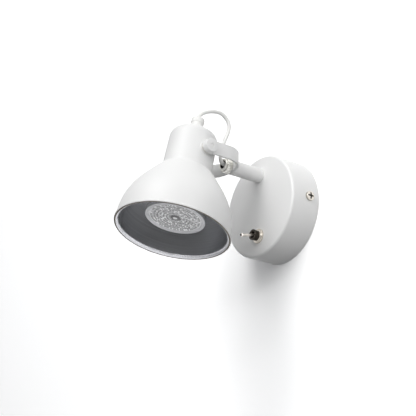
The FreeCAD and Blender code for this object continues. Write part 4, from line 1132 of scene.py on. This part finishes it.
CAMERA_AZIMUTH, CAMERA_ELEVATION, CAMERA_ROLL = 54.093, -21.005, 1.228
CAMERA_DISTANCE = 1.183313
CAMERA_AIM = (0, -0.060, 0)
CAMERA_SHIFT = (-0.018262, -0.008994)  # of the aim, to the right and up
SENSOR_WIDTH = 36.0
FOCAL_SHARE = 1402.304 / 416  # focal length over the picture's width
LAMP_AIM = (0.0, -0.07, 0.0)
LAMPS = (  # name, place, width, watts
    ("key_above", (0.10, -0.85, 1.00), 0.6, 4.8),
    ("front_above", (0.0, -1.35, 0.70), 0.9, 3.2),
    ("front_right", (0.65, -1.25, 0.35), 0.7, 4.9),
    ("front_right_high", (0.55, -1.10, 0.80), 0.7, 2.8),
    ("fill_right", (1.25, -0.35, 0.15), 0.7, 3.5),
    ("rim_right", (1.20, -0.06, 0.35), 0.5, 2.9),
    ("low_right", (0.55, -1.15, -0.50), 0.5, 0.3),
)
SURROUND = 0.16
SURROUND_SEEN = 0.9
SHEET_SEEN = 1.65
SHEET_BOUNCE = 0.45
SHEET_OPENING = 0.043
SHEET_GAP = 0.0002
SHEET_HALF_WIDTH = 3.0
WALL_TOP = 1.6
FLOOR_HEIGHT, FLOOR_END, FLOOR_BEND = -0.95, -3.2, 0.25


def build_camera():
    """The camera at the photograph's angle: from below, to the right of the wall light."""
    azimuth, elevation, roll = (
        math.radians(v) for v in (CAMERA_AZIMUTH, CAMERA_ELEVATION, CAMERA_ROLL))
    flat = math.cos(elevation)
    back = Vector((math.sin(azimuth) * flat, -math.cos(azimuth) * flat, math.sin(elevation)))
    right = Vector((math.cos(azimuth), math.sin(azimuth), 0))
    up = back.cross(right)
    aim = Vector(CAMERA_AIM) + right * CAMERA_SHIFT[0] + up * CAMERA_SHIFT[1]
    c, s = math.cos(roll), math.sin(roll)
    turn = Matrix((right * c + up * s, up * c - right * s, back)).transposed()
    camera = bpy.data.objects.new("camera", bpy.data.cameras.new("camera"))
    camera.data.sensor_width = SENSOR_WIDTH
    camera.data.lens = FOCAL_SHARE * SENSOR_WIDTH
    camera.data.clip_start = 0.01
    camera.data.clip_end = 20.0
    camera.matrix_world = Matrix.Translation(aim + back * CAMERA_DISTANCE) @ turn.to_4x4()
    bpy.context.scene.collection.objects.link(camera)
    bpy.context.scene.camera = camera


def area_lamp(name, place, size, watts):
    """A square soft lamp that faces the light."""
    data = bpy.data.lights.new(name, "AREA")
    data.shape = "SQUARE"
    data.size = size
    data.energy = watts
    lamp = bpy.data.objects.new(name, data)
    lamp.location = place
    lamp.rotation_mode = "QUATERNION"
    lamp.rotation_quaternion = (Vector(LAMP_AIM) - Vector(place)).to_track_quat("-Z", "Y")
    bpy.context.scene.collection.objects.link(lamp)


def build_backdrop():
    """Wall and floor in one sheet: down the wall, round a quarter circle, out on the floor."""
    t = np.linspace(0, math.pi / 2, 16)
    bend = np.column_stack((np.cos(t) - 1, 1 - np.sin(t))) * FLOOR_BEND + (0, FLOOR_HEIGHT)
    curve = np.concatenate(([(0.0, WALL_TOP)], bend, [(FLOOR_END, FLOOR_HEIGHT)]))
    x = np.array((SHEET_HALF_WIDTH, -SHEET_HALF_WIDTH))[:, None]
    points = np.stack(np.broadcast_arrays(x, curve[None, :, 0] + SHEET_GAP, curve[None, :, 1]), -1)
    mesh = bpy.data.meshes.new("backdrop")
    faces = grid_faces(2, len(curve), False, False)
    mesh.from_pydata(points.reshape(-1, 3).tolist(), [], faces.tolist())
    mesh.shade_smooth()
    sheet = bpy.data.objects.new("backdrop", mesh)
    bpy.context.scene.collection.objects.link(sheet)
    mesh.materials.append(backdrop_finish().material)


def backdrop_finish():
    """A matt sheet that a camera, a mirror or a glass sees as white, but for the shadow on it.

    It is clear from behind, and so is a disc that the rose hides, which lets light into the
    rose's back.
    """
    f = Finish("studio_sheet", (0.80, 0.80, 0.80), 0.9)
    path = f.add("ShaderNodeLightPath")
    seen = f.read(path, "Is Camera Ray").math("MAXIMUM", f.read(path, "Is Glossy Ray"))
    seen = seen.math("MAXIMUM", f.read(path, "Is Transmission Ray"))
    lit, bright = (f.add("ShaderNodeBsdfDiffuse", None, Color=(grey, grey, grey, 1.0))
                   for grey in (SHEET_BOUNCE, SHEET_SEEN))
    mixed = f.add("ShaderNodeMixShader", None, seen, lit.outputs[0], bright.outputs[0])
    clear = f.add("ShaderNodeBsdfTransparent")
    behind = f.read(f.add("ShaderNodeNewGeometry"), "Backfacing")
    reach = f.add("ShaderNodeVectorMath", {"operation": "LENGTH"}, f.place())
    opening = f.read(reach, "Value").math("LESS_THAN", SHEET_OPENING)
    sheet = f.add("ShaderNodeMixShader", None, behind.math("MAXIMUM", opening), mixed.outputs[0],
                  clear.outputs[0])
    out = next(n for n in f.tree.nodes if n.type == "OUTPUT_MATERIAL")
    f.give(out.inputs["Surface"], sheet.outputs[0])
    f.tree.nodes.remove(f.shader)
    return f


def build_world():
    """A pale surround that lights softly and is seen as white."""
    world = bpy.data.worlds.new("surround")
    bpy.context.scene.world = world
    world.use_nodes = True
    n = Nodes(world.node_tree)
    n.tree.nodes.clear()
    path = n.add("ShaderNodeLightPath")
    mirrored = n.read(path, "Is Glossy Ray") * SURROUND_SEEN
    seen = n.read(path, "Is Camera Ray").math("MAXIMUM", mirrored)
    lit = n.add("ShaderNodeBackground", None, Color=(0.95, 0.97, 1.0, 1.0), Strength=SURROUND)
    white = n.add("ShaderNodeBackground", None, Color=(1, 1, 1, 1), Strength=1.0)
    mixed = n.add("ShaderNodeMixShader", None, seen, lit.outputs[0], white.outputs[0])
    n.add("ShaderNodeOutputWorld", None, mixed.outputs[0])


def build_stage():
    """Camera, lamps, backdrop and surround, and plain colours in the picture."""
    build_camera()
    build_world()
    build_backdrop()
    for lamp in LAMPS:
        area_lamp(*lamp)
    bpy.context.scene.view_settings.view_transform = "Standard"


# ---- operators and panel ----

class Step:
    """What every operator does: it runs its builders in order."""

    def execute(self, context):
        for build in self.builders:
            build()
        return {"FINISHED"}


class SPOT_OT_stage(Step, bpy.types.Operator):
    """Makes the camera, the lamps, the wall and floor, and the surround."""
    bl_idname = "spot.stage"
    bl_label = "Stage"
    builders = (build_stage,)


class SPOT_OT_cord(Step, bpy.types.Operator):
    """Makes the free cord from the gland to the arm's nipple."""
    bl_idname = "spot.cord"
    bl_label = "Cord"
    builders = (build_cord,)


class SPOT_OT_inside(Step, bpy.types.Operator):
    """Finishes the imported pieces, those inside the light among them."""
    bl_idname = "spot.inside"
    bl_label = "Inner pieces"
    builders = (paint_nodes,)


class SPOT_OT_rose(Step, bpy.types.Operator):
    """Makes the wall rose and its side screws."""
    bl_idname = "spot.rose"
    bl_label = "Wall rose"
    builders = (build_rose, build_side_screws)


class SPOT_OT_arm(Step, bpy.types.Operator):
    """Makes the arm with its washers, ring nut, nipple and bush."""
    bl_idname = "spot.arm"
    bl_label = "Arm"
    builders = (build_arm,)


class SPOT_OT_switch(Step, bpy.types.Operator):
    """Makes the toggle switch and its lever."""
    bl_idname = "spot.switch"
    bl_label = "Toggle switch"
    builders = (build_switch,)


class SPOT_OT_yoke(Step, bpy.types.Operator):
    """Makes the yoke, its pivot screws and the spacers."""
    bl_idname = "spot.yoke"
    bl_label = "Yoke"
    builders = (build_yoke, build_pivots)


class SPOT_OT_shade(Step, bpy.types.Operator):
    """Makes the bell shade with its lining, and the cord gland on top."""
    bl_idname = "spot.shade"
    bl_label = "Shade and gland"
    builders = (build_shade, build_gland)


class SPOT_OT_lamp(Step, bpy.types.Operator):
    """Makes the reflector lamp."""
    bl_idname = "spot.lamp"
    bl_label = "Lamp"
    builders = (build_lamp,)


STEPS = ("stage", "cord", "inside", "rose", "arm", "switch", "yoke", "shade", "lamp")


class SPOT_PT_panel(bpy.types.Panel):
    """Lists the sizes, the colours and the steps."""
    bl_label = "Pivoting spotlight"
    bl_idname = "SPOT_PT_panel"
    bl_space_type = "VIEW_3D"
    bl_region_type = "UI"
    bl_category = "Spotlight"

    def draw(self, context):
        for group in (context.scene.spot_sizes, context.scene.spot_colours):
            for name in type(group).__annotations__:
                self.layout.prop(group, name)
        for step in STEPS:
            self.layout.operator("spot." + step)


CLASSES = (SpotSizes, SpotColours, SPOT_OT_stage, SPOT_OT_cord, SPOT_OT_inside, SPOT_OT_rose,
           SPOT_OT_arm, SPOT_OT_switch, SPOT_OT_yoke, SPOT_OT_shade, SPOT_OT_lamp, SPOT_PT_panel)


def register():
    for item in CLASSES:
        bpy.utils.register_class(item)
    bpy.types.Scene.spot_sizes = PointerProperty(type=SpotSizes)
    bpy.types.Scene.spot_colours = PointerProperty(type=SpotColours)


def unregister():
    del bpy.types.Scene.spot_colours
    del bpy.types.Scene.spot_sizes
    for item in reversed(CLASSES):
        bpy.utils.unregister_class(item)


def main():
    """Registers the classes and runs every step."""
    register()
    for step in STEPS:
        getattr(bpy.ops.spot, step)()


if __name__ == "__main__":
    main()
